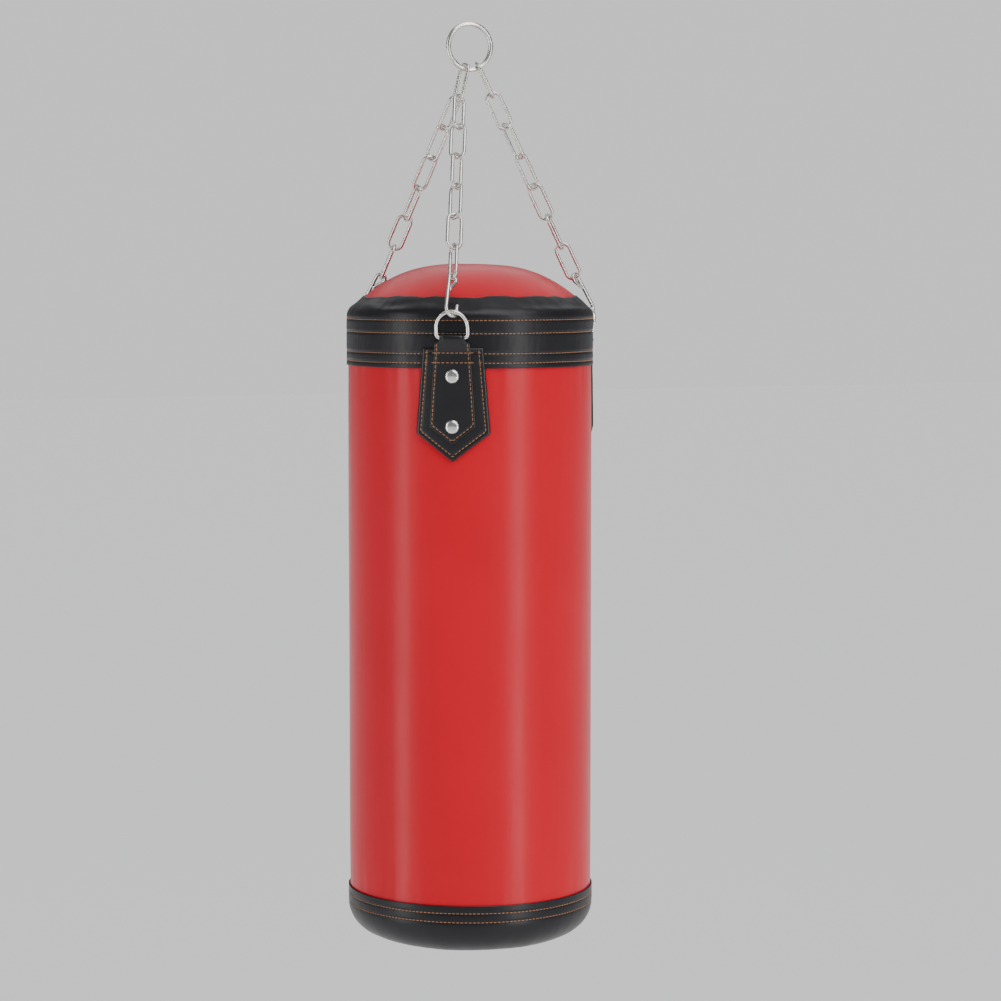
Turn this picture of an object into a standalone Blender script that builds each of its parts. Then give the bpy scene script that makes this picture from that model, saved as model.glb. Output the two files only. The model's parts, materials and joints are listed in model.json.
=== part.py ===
"""Heavy punching bag on a three-point chain sling.

Metres, +Z up. The origin is the place inside the top ring where a ceiling hook bears, and the
bag hangs below it. The ring lies in the XZ plane. Two of the chains share one link on the ring,
and the third has a link of its own beside it, so the sling is a mirror image across the XZ plane.
"""

from math import asin, atan2, cos, pi, radians, sin, sqrt, tan

import bmesh
import bpy
from mathutils import Matrix, Vector

# ---- Driving dimensions -------------------------------------------------------------------------

GAP = 0.0003  # between pieces that rest on each other

RING_EYE = 0.0490  # inner diameter of the top ring
RING_WIRE = 0.0060

LINK_WIRE = 0.0040
LINK_EYE_LENGTH = 0.0424
LINK_SIDE_PLAY = 0.0090  # free width beside a neighbour's wire in a link's eye
LINKS_IN_A_CHAIN = 7  # with the one on the ring
SHARED_LINK_ANGLE = -14.0  # place on the ring, from its bottom towards +X, in degrees
SINGLE_LINK_ANGLE = 26.0
SEAT_GAP = 0.0007  # between the wires of a taut chain's links
RING_SEAT_GAP = 0.0012
SHARED_SEAT_PLAY = 0.0010
SWING_LIMIT = 30.0  # degrees each way
SHARED_LINK_ROLL = -10.0

HOOK_WIRE = 0.0045
HOOK_SPAN = 0.0495  # between the two inner bearing points
HOOK_EYE_PLAY = 0.0026  # around the last link's wire
HOOK_MOUTH_PLAY = 0.0090  # around the D-ring's wire

D_WIRE = 0.0045
D_EYE_WIDTH = 0.0325
D_EYE_HEIGHT = 0.0268
D_CORNER = 0.0050
D_LEAN = 10.0  # degrees out from the bag, over the hook's mouth

BAG_DIAMETER = 0.3000
BAG_HEIGHT = 0.7820  # from the flat base to the top band's upper edge
SHELL_WALL = 0.0025
COLLAR_WALL = 0.0012  # the black bands that are sewn over the shell
BAND_HEIGHT = 0.0820
BAND_SHOULDER = 0.0180  # how far in the band's upper edge lies
SHOULDER_SLOPE = 42.0  # degrees below level
SHOULDER_CORNER = 0.0140  # the rounding between the slope and the upright wall
COVER_RISE = 0.0420
COVER_FULLNESS = 2.8  # 2 is a parabola; more is flatter on top and steeper at the rim
COVER_WALL = 0.0025
CAP_HEIGHT = 0.0630
CAP_WALL = 0.0025
CAP_CORNER = 0.0420

LINING_WALL = 0.0010
FOAM_WALL = 0.0080
FILLING_TOP_SPACE = 0.0120

TAB_ANGLES = {"right": 0.0, "left": 120.0, "front": -120.0}  # around the bag, from +X
RING_BELOW_BAND_TOP = 0.0156  # from the band's upper edge to the D-ring's arch
PATCH_WALL = 0.0018
PATCH_TOP_WIDTH = 0.0720
PATCH_WIDTH = 0.0880
PATCH_SIDE = 0.1000
PATCH_POINT = 0.0335
PATCH_BELOW_BAR = 0.0115
STRAP_WALL = 0.0030
STRAP_PLY = 0.0016  # one ply of leather around the D-ring's bar
STRAP_TOP_WIDTH = 0.0300
STRAP_MARGIN = 0.0165  # from the strap's edge to the patch's
STRAP_FLARE = 0.0063  # how much each side widens from under the bar to the lower corners
STRAP_BELOW_BAR = 0.0012  # from the bar's wire to where the strap widens under it
BAR_PLAY = 0.0004

RIVET_HEAD = 0.0160
RIVET_CROWN = 0.0036
RIVET_SHANK = 0.0040
RIVET_TAIL = 0.0070
RIVET_TAIL_WALL = 0.0010
RIVET_HOLE_PLAY = 0.0003
WASHER = 0.0120
WASHER_WALL = 0.0010
UPPER_RIVET_BELOW_PATCH_TOP = 0.0330
LOWER_RIVET_BELOW_PATCH_TOP = 0.0920

# How far each link is turned about its own chain, in degrees, from lying flat towards the viewer
# who faces its tab. Neighbours stay at least 64 degrees apart so that their crowns pass.
LINK_ROLLS = {
    "front": (128, 12, 124, 40, 156, 60),
    "left": (6, 88, 20, 116, 48, 136),
    "right": (16, 104, 168, 68, 132, 32, 120),
}
HOOK_ROLLS = {"front": 130, "left": 51, "right": 54}

TURN_STEPS = 48
FASTENER_STEPS = 16
WIRE_SIDES = 2  # bevel resolution, for eight sides
CROWN_STEPS = 6

# ---- Derived sizes ------------------------------------------------------------------------------

BAG_RADIUS = BAG_DIAMETER / 2
SHELL_RADIUS = BAG_RADIUS - COLLAR_WALL - GAP
SHELL_BORE = SHELL_RADIUS - SHELL_WALL
RING_RADIUS = (RING_EYE + RING_WIRE) / 2
RING_CENTRE = Vector((0, 0, -RING_EYE / 2))
LINK_EYE_WIDTH = LINK_WIRE + LINK_SIDE_PLAY
CROWN_RADIUS = (LINK_EYE_WIDTH + LINK_WIRE) / 2
LINK_REACH = (LINK_EYE_LENGTH + LINK_WIRE) / 2  # from a link's centre to its crown's wire
D_REACH = D_EYE_HEIGHT + D_WIRE  # from the bar's centre to the arch's
D_RISE = D_REACH * cos(radians(D_LEAN))
PATCH_BORE = BAG_RADIUS + GAP
STRAP_BORE = PATCH_BORE + PATCH_WALL + GAP
STRAP_FACE = STRAP_BORE + STRAP_WALL
STRAP_EYE_RADIUS = D_WIRE / 2 + BAR_PLAY + STRAP_PLY
BAR_RADIUS = max(BAG_RADIUS + GAP + STRAP_EYE_RADIUS, STRAP_FACE - STRAP_PLY)
ARCH_RADIUS = BAR_RADIUS + D_REACH * sin(radians(D_LEAN))
DOWN = Vector((0, 0, -1))


def around(angle, radius, height):
    """A point at an angle in degrees around the bag's axis."""
    return Vector((radius * cos(radians(angle)), radius * sin(radians(angle)), height))


# ---- The sling's geometry -----------------------------------------------------------------------


def frame_along(down, roll):
    """Axes for a piece of chain: Z up along it, X across its flat side, turned by roll degrees."""
    across = down.cross(Vector((0, 0, 1)))
    across = across.normalized() if across.length > 1e-9 else Vector((0, 1, 0))
    across = Matrix.Rotation(radians(roll), 3, down) @ across
    up = -down
    return Matrix((across, up.cross(across), up)).transposed()


def on_ring(angle):
    """The centre of the ring's wire, at an angle in degrees from its bottom towards +X."""
    turn = radians(angle)
    return RING_CENTRE + RING_RADIUS * Vector((sin(turn), 0, -cos(turn)))


def first_link(angle):
    """(centre, direction) of a link that hangs on the ring, in line with the ring's centre."""
    seat = on_ring(angle)
    down = (seat - RING_CENTRE).normalized()
    return seat + down * (LINK_EYE_LENGTH / 2 - RING_WIRE / 2 - RING_SEAT_GAP), down


def side_by_side():
    """Half the distance between the two links that share a crown."""
    return (LINK_WIRE + GAP) / 2 + GAP


def shared_seat(side):
    """The crown of a second link that hangs in the shared link, on its side -1 or 1 along Y.

    It sits high enough for the crown's curve beside it, and for the sling's swing about the
    line midway between the two links.
    """
    centre, down = first_link(SHARED_LINK_ANGLE)
    offset = side_by_side()
    room = CROWN_RADIUS - LINK_WIRE - GAP
    rise = room - sqrt(room**2 - offset**2)
    lift = offset * sin(radians(SWING_LIMIT))
    seat = centre + down * (LINK_REACH - LINK_WIRE - SHARED_SEAT_PLAY - rise - lift)
    along_crown = frame_along(down, SHARED_LINK_ROLL).col[0]
    return seat + side * offset * along_crown


def chain_length(links):
    """From the first crown's wire to the D-ring's wire, when the chain is taut."""
    wires = (LINK_WIRE - D_WIRE) / 2
    return links * LINK_EYE_LENGTH + HOOK_SPAN + wires - (links + 1) * SEAT_GAP


def arch_height():
    """How high the D-rings' arches hang, which the front chain's length sets."""
    seat = shared_seat(-1)
    arch = around(TAB_ANGLES["front"], ARCH_RADIUS, 0)
    run = Vector((arch.x - seat.x, arch.y - seat.y)).length
    return seat.z - sqrt(chain_length(LINKS_IN_A_CHAIN - 1) ** 2 - run**2)


ARCH_Z = arch_height()
BAND_TOP_Z = ARCH_Z + RING_BELOW_BAND_TOP
BASE_Z = BAND_TOP_Z - BAG_HEIGHT
BAND_BOTTOM_Z = BAND_TOP_Z - BAND_HEIGHT
SHOULDER_TURN = radians(90 - SHOULDER_SLOPE)
SLOPE_RUN = BAND_SHOULDER - SHOULDER_CORNER * (1 - cos(SHOULDER_TURN))
SHOULDER_Z = BAND_TOP_Z - SLOPE_RUN / tan(SHOULDER_TURN) - SHOULDER_CORNER * sin(SHOULDER_TURN)
CAP_TOP_Z = BASE_Z + CAP_HEIGHT
BAR_Z = ARCH_Z - D_RISE
PATCH_TOP_Z = BAR_Z - PATCH_BELOW_BAR
RIVET_HEIGHTS = {
    "upper": PATCH_TOP_Z - UPPER_RIVET_BELOW_PATCH_TOP,
    "lower": PATCH_TOP_Z - LOWER_RIVET_BELOW_PATCH_TOP,
}


def chain_route(side):
    """(first crown's wire, D-ring's wire, number of links) of one chain below the ring."""
    arch = around(TAB_ANGLES[side], ARCH_RADIUS, ARCH_Z)
    if side == "right":
        centre, down = first_link(SINGLE_LINK_ANGLE)
        return centre - down * LINK_REACH, arch, LINKS_IN_A_CHAIN
    return shared_seat(-1 if side == "front" else 1), arch, LINKS_IN_A_CHAIN - 1


def seat_gap(side):
    """The gap at each of a chain's seats. Chains that are longer than their route share it out."""
    top, arch, links = chain_route(side)
    spare = chain_length(links) - (arch - top).length
    return SEAT_GAP + spare / (links + 1)


def swing_line():
    """Two points of the line that the bag swings about, at the first links' lower ends."""
    left = (shared_seat(-1) + shared_seat(1)) / 2
    top, arch, links = chain_route("right")
    down = (arch - top).normalized()
    return left, top + down * (LINK_EYE_LENGTH - seat_gap("right"))


# ---- Blender helpers ----------------------------------------------------------------------------


def clear_scene():
    for obj in list(bpy.data.objects):
        bpy.data.objects.remove(obj)


def new_collection(name):
    group = bpy.data.collections.new(name)
    bpy.context.scene.collection.children.link(group)
    return group


def finish(name, colour, roughness, metallic=0.0):
    """A Principled material."""
    material = bpy.data.materials.new(name)
    material.use_nodes = True
    shader = material.node_tree.nodes["Principled BSDF"]
    shader.inputs["Base Color"].default_value = (*colour, 1)
    shader.inputs["Roughness"].default_value = roughness
    shader.inputs["Metallic"].default_value = metallic
    material.diffuse_color = (*colour, 1)
    return material


def add_part(name, data, material, group):
    obj = bpy.data.objects.new(name, data)
    if not data.materials:
        data.materials.append(material)
    group.objects.link(obj)
    return obj


def hang_on(obj, empty):
    """Parents obj to an empty without moving it."""
    bpy.context.view_layer.update()
    world = obj.matrix_world.copy()
    obj.parent = empty
    obj.matrix_parent_inverse = empty.matrix_world.inverted()
    obj.matrix_world = world


def wire_data(name, points, thickness, closed):
    """A wire along a list of points."""
    curve = bpy.data.curves.new(name, "CURVE")
    curve.dimensions = "3D"
    curve.bevel_depth = thickness / 2
    curve.bevel_resolution = WIRE_SIDES
    curve.use_fill_caps = not closed
    spline = curve.splines.new("POLY")
    spline.points.add(len(points) - 1)
    for place, point in zip(spline.points, points):
        place.co = (*point, 1)
    spline.use_cyclic_u = closed
    spline.use_smooth = True
    return curve


def arc(centre_x, centre_z, radius, start, end, steps):
    """Points of an arc in the XZ plane, with angles in degrees from +X towards +Z."""
    turns = [radians(start + (end - start) * i / steps) for i in range(steps + 1)]
    return [(centre_x + radius * cos(t), 0, centre_z + radius * sin(t)) for t in turns]


def turned(name, profile, material, group):
    """A shape turned from (radius, height) points that run down its outer side."""
    mesh = bpy.data.meshes.new(name)
    count = len(profile)
    on_axis = profile[0][0] == 0
    edges = [(i, i + 1) for i in range(count - 1)]
    if not on_axis:
        edges.append((count - 1, 0))
    mesh.from_pydata([(r, 0, z) for r, z in profile], edges, [])
    obj = add_part(name, mesh, material, group)
    screw = obj.modifiers.new("turn", "SCREW")
    screw.axis = "Z"
    screw.angle = 2 * pi
    screw.steps = TURN_STEPS
    screw.render_steps = TURN_STEPS
    screw.use_merge_vertices = True
    screw.merge_threshold = 0.00001
    screw.use_smooth_shade = True
    return obj


def set_steps(obj, steps):
    obj.modifiers["turn"].steps = steps
    obj.modifiers["turn"].render_steps = steps


def curve_profile(centre_r, centre_z, radius, start, end, steps):
    return [(x, z) for x, y, z in arc(centre_r, centre_z, radius, start, end, steps)]


def cut(obj, cutter, operation="DIFFERENCE"):
    """A Boolean with the exact solver."""
    boolean = obj.modifiers.new(cutter.name, "BOOLEAN")
    boolean.operation = operation
    boolean.solver = "EXACT"
    boolean.object = cutter


def as_cutter(obj):
    obj.hide_render = True
    obj.display_type = "WIRE"
    return obj


def prism(name, outline, half_depth, material, group):
    """A flat outline in the XZ plane, given thickness along Y, as a mesh."""
    curve = bpy.data.curves.new(name, "CURVE")
    curve.dimensions = "2D"
    curve.fill_mode = "BOTH"
    curve.extrude = half_depth
    spline = curve.splines.new("POLY")
    spline.points.add(len(outline) - 1)
    for place, (x, z) in zip(spline.points, outline):
        place.co = (x, z, 0, 1)
    spline.use_cyclic_u = True
    flat = bpy.data.objects.new(name + "_outline", curve)
    bpy.context.scene.collection.objects.link(flat)
    flat.rotation_euler = (pi / 2, 0, 0)
    bpy.context.view_layer.update()
    graph = bpy.context.evaluated_depsgraph_get()
    mesh = bpy.data.meshes.new_from_object(flat.evaluated_get(graph))
    mesh.transform(flat.matrix_world)
    bpy.data.objects.remove(flat)
    shape = bmesh.new()
    shape.from_mesh(mesh)
    bmesh.ops.remove_doubles(shape, verts=shape.verts, dist=0.00001)
    bmesh.ops.recalc_face_normals(shape, faces=shape.faces)
    shape.to_mesh(mesh)
    shape.free()
    mesh.name = name
    return add_part(name, mesh, material, group)


def rod(name, radius, length, material, group, sides=16):
    """A round bar along Z, centred."""
    shape = bmesh.new()
    bmesh.ops.create_cone(
        shape, cap_ends=True, segments=sides, radius1=radius, radius2=radius, depth=length
    )
    mesh = bpy.data.meshes.new(name)
    shape.to_mesh(mesh)
    shape.free()
    return add_part(name, mesh, material, group)


def facing_out(angle, height, radius=0.0):
    """Places a piece at a tab: local -Y looks out of the bag and local Z stays up."""
    return Matrix.Translation(around(angle, radius, height)) @ Matrix.Rotation(
        radians(angle + 90), 4, "Z"
    )


def round_off(obj, angle=40):
    """Shades a mesh smooth, apart from its sharp edges."""
    obj.data.shade_smooth()
    obj.data.set_sharp_from_angle(angle=radians(angle))


# ---- The sling: ring, links, hooks and D-rings --------------------------------------------------


def make_ring(steel, group):
    bpy.ops.mesh.primitive_torus_add(
        major_segments=36,
        minor_segments=8,
        major_radius=RING_RADIUS,
        minor_radius=RING_WIRE / 2,
        location=RING_CENTRE,
        rotation=(pi / 2, 0, 0),
    )
    ring = bpy.context.object
    ring.name = "hanger_ring"
    ring.data.materials.append(steel)
    for holder in list(ring.users_collection):
        holder.objects.unlink(ring)
    group.objects.link(ring)
    round_off(ring)
    return ring


def link_points():
    """The wire of a long link: two half-round crowns joined by straight sides."""
    straight = LINK_REACH - CROWN_RADIUS
    top = arc(0, straight, CROWN_RADIUS, 0, 180, CROWN_STEPS)
    return top + arc(0, -straight, CROWN_RADIUS, 180, 360, CROWN_STEPS)


def put_link(name, wire, centre, down, roll, steel, group, empty):
    link = add_part(name, wire, steel, group)
    link.matrix_world = Matrix.Translation(centre) @ frame_along(down, roll).to_4x4()
    hang_on(link, empty)
    return link


def hook_points():
    """An open hook: a closed eye above, a straight back and an open mouth below.

    Both bearing points lie on the chain's line, with the origin at the eye's inner top.
    """
    eye = (LINK_WIRE + HOOK_EYE_PLAY + HOOK_WIRE) / 2
    mouth = (D_WIRE + HOOK_MOUTH_PLAY + HOOK_WIRE) / 2
    eye_z = HOOK_WIRE / 2 - eye
    mouth_z = -HOOK_SPAN - HOOK_WIRE / 2 + mouth
    back_gap = HOOK_WIRE + 2 * GAP
    returned = (back_gap - mouth, 0, (eye_z + mouth_z) / 2 + eye)
    lean = 180 + degrees_between(mouth - eye, eye_z - mouth_z)
    points = [returned]
    points += arc(0, eye_z, eye, -20, lean, 2 * CROWN_STEPS)
    points += arc(0, mouth_z, mouth, lean, 380, 2 * CROWN_STEPS)
    tip = points[-1]
    points.append((tip[0] + mouth * 0.1, 0, tip[2] + mouth * 0.5))
    return points


def degrees_between(across, along):
    return atan2(across, along) * 180 / pi


def d_ring_points():
    """A D-ring: a straight bar along X at the origin, and an arch above it."""
    half = (D_EYE_WIDTH + D_WIRE) / 2
    shoulder = D_REACH - half
    points = arc(half - D_CORNER, D_CORNER, D_CORNER, -90, 0, 3)
    points += arc(0, shoulder, half, 0, 180, 2 * CROWN_STEPS)
    points += arc(D_CORNER - half, D_CORNER, D_CORNER, 180, 270, 3)
    return points


def make_first_links(wire, steel, group, empty):
    centre, down = first_link(SHARED_LINK_ANGLE)
    put_link("link_shared", wire, centre, down, SHARED_LINK_ROLL, steel, group, empty)


def make_chain(side, rolls, wire, hook_wire, steel, group, empties):
    """The links of one chain, from its first crown down, and the hook below them."""
    top, arch, links = chain_route(side)
    down = (arch - top).normalized()
    gap = seat_gap(side)
    first = LINKS_IN_A_CHAIN - links + 1
    for i, roll in enumerate(rolls):
        number = first + i
        name = f"link_{side}_{number}"
        centre = top + down * (LINK_REACH + i * (LINK_EYE_LENGTH - gap))
        empty = empties["swing_side"] if number == 1 else empties["swing_front"]
        put_link(name, wire, centre, down, roll, steel, group, empty)
    hook = add_part(f"hook_{side}", hook_wire, steel, group)
    seat = arch - down * (HOOK_SPAN - D_WIRE / 2 - gap)
    axes = frame_along(down, HOOK_ROLLS[side]).to_4x4()
    hook.matrix_world = Matrix.Translation(seat) @ axes
    hang_on(hook, empties["swing_front"])


def make_d_ring(side, wire, steel, group, empty):
    ring = add_part(f"d_ring_{side}", wire, steel, group)
    lean = Matrix.Rotation(radians(D_LEAN), 4, "X")
    ring.matrix_world = facing_out(TAB_ANGLES[side], BAR_Z, BAR_RADIUS) @ lean
    hang_on(ring, empty)


# ---- The bag: shell, bands, cover and what is inside --------------------------------------------


def make_shell(vinyl, group):
    """The red tube, from inside the cap to just under the band's shoulder."""
    top = SHOULDER_Z - 2 * GAP
    bottom = BASE_Z + CAP_CORNER + 2 * GAP
    profile = [
        (SHELL_RADIUS, top),
        (SHELL_RADIUS, BAND_BOTTOM_Z),
        (SHELL_RADIUS, CAP_TOP_Z),
        (SHELL_RADIUS, bottom),
        (SHELL_BORE, bottom),
        (SHELL_BORE, top),
    ]
    return turned("outer_shell", profile, vinyl, group)


def make_band(vinyl, group):
    """The black band around the top. Its shoulder slopes in to the cover's seam."""
    centre = BAG_RADIUS - SHOULDER_CORNER
    turn = 90 - SHOULDER_SLOPE
    seam = BAG_RADIUS - BAND_SHOULDER
    inner = SHOULDER_CORNER - COLLAR_WALL
    profile = [(seam, BAND_TOP_Z)]
    profile += curve_profile(centre, SHOULDER_Z, SHOULDER_CORNER, turn, 0, 3)
    profile += [(BAG_RADIUS, BAND_BOTTOM_Z), (BAG_RADIUS - COLLAR_WALL, BAND_BOTTOM_Z)]
    profile += curve_profile(centre, SHOULDER_Z, inner, 0, turn, 3)
    profile.append((seam, BAND_TOP_Z - COLLAR_WALL / sin(SHOULDER_TURN)))
    return turned("top_band", profile, vinyl, group)


def dome_profile(rim, rim_z, apex_z, steps):
    """Points of a round crown from its apex down to its rim."""
    rise = apex_z - rim_z
    radius = (rim**2 + rise**2) / (2 * rise)
    half = asin(rim / radius)
    turns = [half * i / steps for i in range(steps + 1)]
    return [(radius * sin(t), apex_z - radius * (1 - cos(t))) for t in turns]


def full_crown(rim, rim_z, rise, steps):
    """Points of a stuffed crown from its apex down to its rim, steepest at the rim."""
    shares = [i / steps for i in range(steps + 1)]
    return [(rim * share, rim_z + rise * (1 - share**COVER_FULLNESS)) for share in shares]


def make_cover(vinyl, group):
    """The red crowned cover inside the band's edge."""
    rim = BAG_RADIUS - BAND_SHOULDER - GAP
    outer = full_crown(rim, BAND_TOP_Z - COLLAR_WALL, COVER_RISE, 9)
    inner = [(r, z - COVER_WALL) for r, z in reversed(outer)]
    return turned("top_cover", outer + inner, vinyl, group)


def make_cap(vinyl, group):
    """The black bottom cap, a cup with a flat base and a rounded edge."""
    centre = BAG_RADIUS - CAP_CORNER
    level = BASE_Z + CAP_CORNER
    bore = BAG_RADIUS - COLLAR_WALL
    inner_corner = CAP_CORNER - CAP_WALL
    profile = [(0, BASE_Z + CAP_WALL)]
    profile += curve_profile(centre, level, inner_corner, -90, 0, 6)
    profile += [(bore, level), (bore, CAP_TOP_Z), (BAG_RADIUS, CAP_TOP_Z)]
    profile += curve_profile(centre, level, CAP_CORNER, 0, -90, 6)
    profile.append((0, BASE_Z))
    return turned("bottom_cap", profile, vinyl, group)


def inner_radius():
    """The room left inside the rivets' tails."""
    tail = washer_face() - WASHER_WALL - GAP - RIVET_TAIL_WALL
    return tail - GAP


def cup_profile(radius, wall, corner, top_z, base_z):
    """A cup: inner floor, inner wall, rim, outer wall, base."""
    centre = radius - corner
    level = base_z + corner
    profile = [(0, base_z + wall)]
    profile += curve_profile(centre, level, corner - wall, -90, 0, 4)
    profile += [(radius - wall, top_z), (radius, top_z)]
    profile += curve_profile(centre, level, corner, 0, -90, 4)
    profile.append((0, base_z))
    return profile


def make_lining(canvas, group):
    """The canvas sack inside the shell."""
    base = BASE_Z + CAP_WALL + GAP
    top = SHOULDER_Z
    radius = inner_radius()
    return turned("lining", cup_profile(radius, LINING_WALL, CAP_CORNER, top, base), canvas, group)


def make_foam(foam, group):
    """The foam sleeve that rounds the bag out, between the lining and the filling."""
    outer = inner_radius() - LINING_WALL - GAP
    inner = outer - FOAM_WALL
    top = SHOULDER_Z
    bottom = BASE_Z + CAP_WALL + CAP_CORNER
    profile = [(outer, top), (outer, bottom), (inner, bottom), (inner, top)]
    return turned("foam_sleeve", profile, foam, group)


def make_filling(cloth, group):
    """The packed filling, one solid, a little short of the cover."""
    radius = inner_radius() - LINING_WALL - FOAM_WALL - 2 * GAP
    base = BASE_Z + CAP_WALL + LINING_WALL + 2 * GAP
    corner = CAP_CORNER - LINING_WALL
    top = BAND_TOP_Z - FILLING_TOP_SPACE
    rise = COVER_RISE * 0.6
    profile = dome_profile(radius - corner / 2, top, top + rise, 4)
    profile[0] = (0, profile[0][1])
    profile.append((radius, top - corner / 2))
    profile += curve_profile(radius - corner, base + corner, corner, 0, -90, 4)
    profile.append((0, base))
    return turned("filling", profile, cloth, group)


# ---- The tabs: patch, strap, rivets and washers -------------------------------------------------


def pentagon(top_width, width, side, point):
    """A tab's outline that hangs down from (0, 0): square top, flared sides, pointed end."""
    return [
        (-top_width / 2, 0),
        (-width / 2, -side),
        (0, -side - point),
        (width / 2, -side),
        (top_width / 2, 0),
    ]


def strap_outline():
    """The strap's outline: narrow in the D-ring, then inside the patch's edge all round."""
    upper = STRAP_TOP_WIDTH / 2
    lower = PATCH_WIDTH / 2 - STRAP_MARGIN
    neck = lower - STRAP_FLARE
    under = D_WIRE / 2 + STRAP_BELOW_BAR
    drop = BAR_Z - PATCH_TOP_Z
    side = drop + PATCH_SIDE - STRAP_MARGIN / 2
    tip = drop + PATCH_SIDE + PATCH_POINT - 1.25 * STRAP_MARGIN
    return [
        (-upper, 0),
        (-upper, -under),
        (-neck, -under - (neck - upper) / 2),
        (-lower, -side),
        (0, -tip),
        (lower, -side),
        (neck, -under - (neck - upper) / 2),
        (upper, -under),
        (upper, 0),
    ]


def sleeve(name, bore, wall, material, group):
    """A tube around the bag that gives a panel its curve and thickness."""
    top = BAND_TOP_Z
    bottom = PATCH_TOP_Z - PATCH_SIDE - 2 * PATCH_POINT
    outer = bore + wall
    profile = [(outer, top), (outer, bottom), (bore, bottom), (bore, top)]
    return as_cutter(turned(name, profile, material, group))


def rivet_axis(angle, height, radius=0.0):
    """Places a turned fastener: local Z points out of the bag."""
    aim = Matrix.Rotation(radians(angle), 4, "Z") @ Matrix.Rotation(pi / 2, 4, "Y")
    return Matrix.Translation(around(angle, radius, height)) @ aim


def washer_face():
    """The radius at which the washers lie against the shell's inside."""
    half = WASHER / 2
    return sqrt(SHELL_BORE**2 - half**2) - GAP


def make_hole(name, angle, height, plain, cutters):
    """A drill through strap, patch and shell for one rivet."""
    start = SHELL_BORE - 0.01
    end = STRAP_FACE + 0.01
    drill = rod(name, RIVET_SHANK / 2 + RIVET_HOLE_PLAY, end - start, plain, cutters)
    drill.matrix_world = rivet_axis(angle, height, (start + end) / 2)
    return as_cutter(drill)


def make_rivet(name, angle, height, chrome, group, empty):
    """A domed rivet: head outside the strap, shank, and a tail spread inside the shell."""
    head = STRAP_FACE + GAP
    tail = washer_face() - WASHER_WALL - GAP
    radius = RIVET_HEAD / 2
    profile = dome_profile(radius, 0.25 * RIVET_CROWN, RIVET_CROWN, 4)
    profile[0] = (0, profile[0][1])
    profile.append((radius, 0))
    profile.append((RIVET_SHANK / 2, 0))
    profile.append((RIVET_SHANK / 2, tail - head))
    profile.append((RIVET_TAIL / 2, tail - head))
    profile.append((RIVET_TAIL / 2, tail - head - RIVET_TAIL_WALL))
    profile.append((0, tail - head - RIVET_TAIL_WALL))
    rivet = turned(name, profile, chrome, group)
    set_steps(rivet, FASTENER_STEPS)
    rivet.matrix_world = rivet_axis(angle, height, head)
    hang_on(rivet, empty)
    return rivet


def make_washer(name, angle, height, steel, group, empty):
    """The backing washer between the shell and the rivet's tail."""
    bore = RIVET_SHANK / 2 + RIVET_HOLE_PLAY
    profile = [
        (WASHER / 2, 0),
        (WASHER / 2, -WASHER_WALL),
        (bore, -WASHER_WALL),
        (bore, 0),
    ]
    washer = turned(name, profile, steel, group)
    set_steps(washer, FASTENER_STEPS)
    washer.matrix_world = rivet_axis(angle, height, washer_face())
    hang_on(washer, empty)
    return washer


def make_patch(side, patch_sleeve, holes, vinyl, group, empty):
    """The wide pointed patch that is sewn over the band's lower edge."""
    outline = pentagon(PATCH_TOP_WIDTH, PATCH_WIDTH, PATCH_SIDE, PATCH_POINT)
    patch = prism(f"patch_{side}", outline, BAG_RADIUS / 3, vinyl, group)
    patch.matrix_world = facing_out(TAB_ANGLES[side], PATCH_TOP_Z, BAG_RADIUS)
    cut(patch, patch_sleeve, "INTERSECT")
    for hole in holes:
        cut(patch, hole)
    hang_on(patch, empty)
    return patch


def make_strap(side, strap_sleeve, holes, vinyl, plain, group, cutters, empty):
    """The narrow strap over the patch, whose top is folded around the D-ring's bar."""
    angle = TAB_ANGLES[side]
    strap = prism(f"strap_{side}", strap_outline(), BAG_RADIUS / 3, vinyl, group)
    strap.matrix_world = facing_out(angle, BAR_Z, BAG_RADIUS)
    fold_length = STRAP_TOP_WIDTH - 2 * GAP
    fold = rod(f"fold_{side}", STRAP_EYE_RADIUS, fold_length, plain, cutters)
    bore = rod(f"bore_{side}", D_WIRE / 2 + BAR_PLAY, 2 * STRAP_TOP_WIDTH, plain, cutters)
    lie_flat = Matrix.Rotation(pi / 2, 4, "Y")
    for bar in (fold, bore):
        bar.matrix_world = facing_out(angle, BAR_Z, BAR_RADIUS) @ lie_flat
        as_cutter(bar)
    cut(strap, strap_sleeve, "INTERSECT")
    cut(strap, fold, "UNION")
    for hole in [bore, *holes]:
        cut(strap, hole)
    hang_on(strap, empty)
    return strap


def make_empty(name, place, group):
    empty = bpy.data.objects.new(name, None)
    empty.location = place
    empty.empty_display_size = 0.03
    group.objects.link(empty)
    return empty


# ---- The whole object ---------------------------------------------------------------------------


def make_tab(side, parts, cutters, looks, sleeves, shell, empty):
    angle = TAB_ANGLES[side]
    drills = []
    for level, height in RIVET_HEIGHTS.items():
        name = f"{side}_{level}"
        drills.append(make_hole("drill_" + name, angle, height, looks["plain"], cutters))
        make_rivet("rivet_" + name, angle, height, looks["chrome"], parts, empty)
        make_washer("washer_" + name, angle, height, looks["steel"], parts, empty)
        cut(shell, drills[-1])
    make_patch(side, sleeves[0], drills, looks["black"], parts, empty)
    strap_looks = (looks["black"], looks["plain"])
    make_strap(side, sleeves[1], drills, *strap_looks, parts, cutters, empty)


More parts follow.
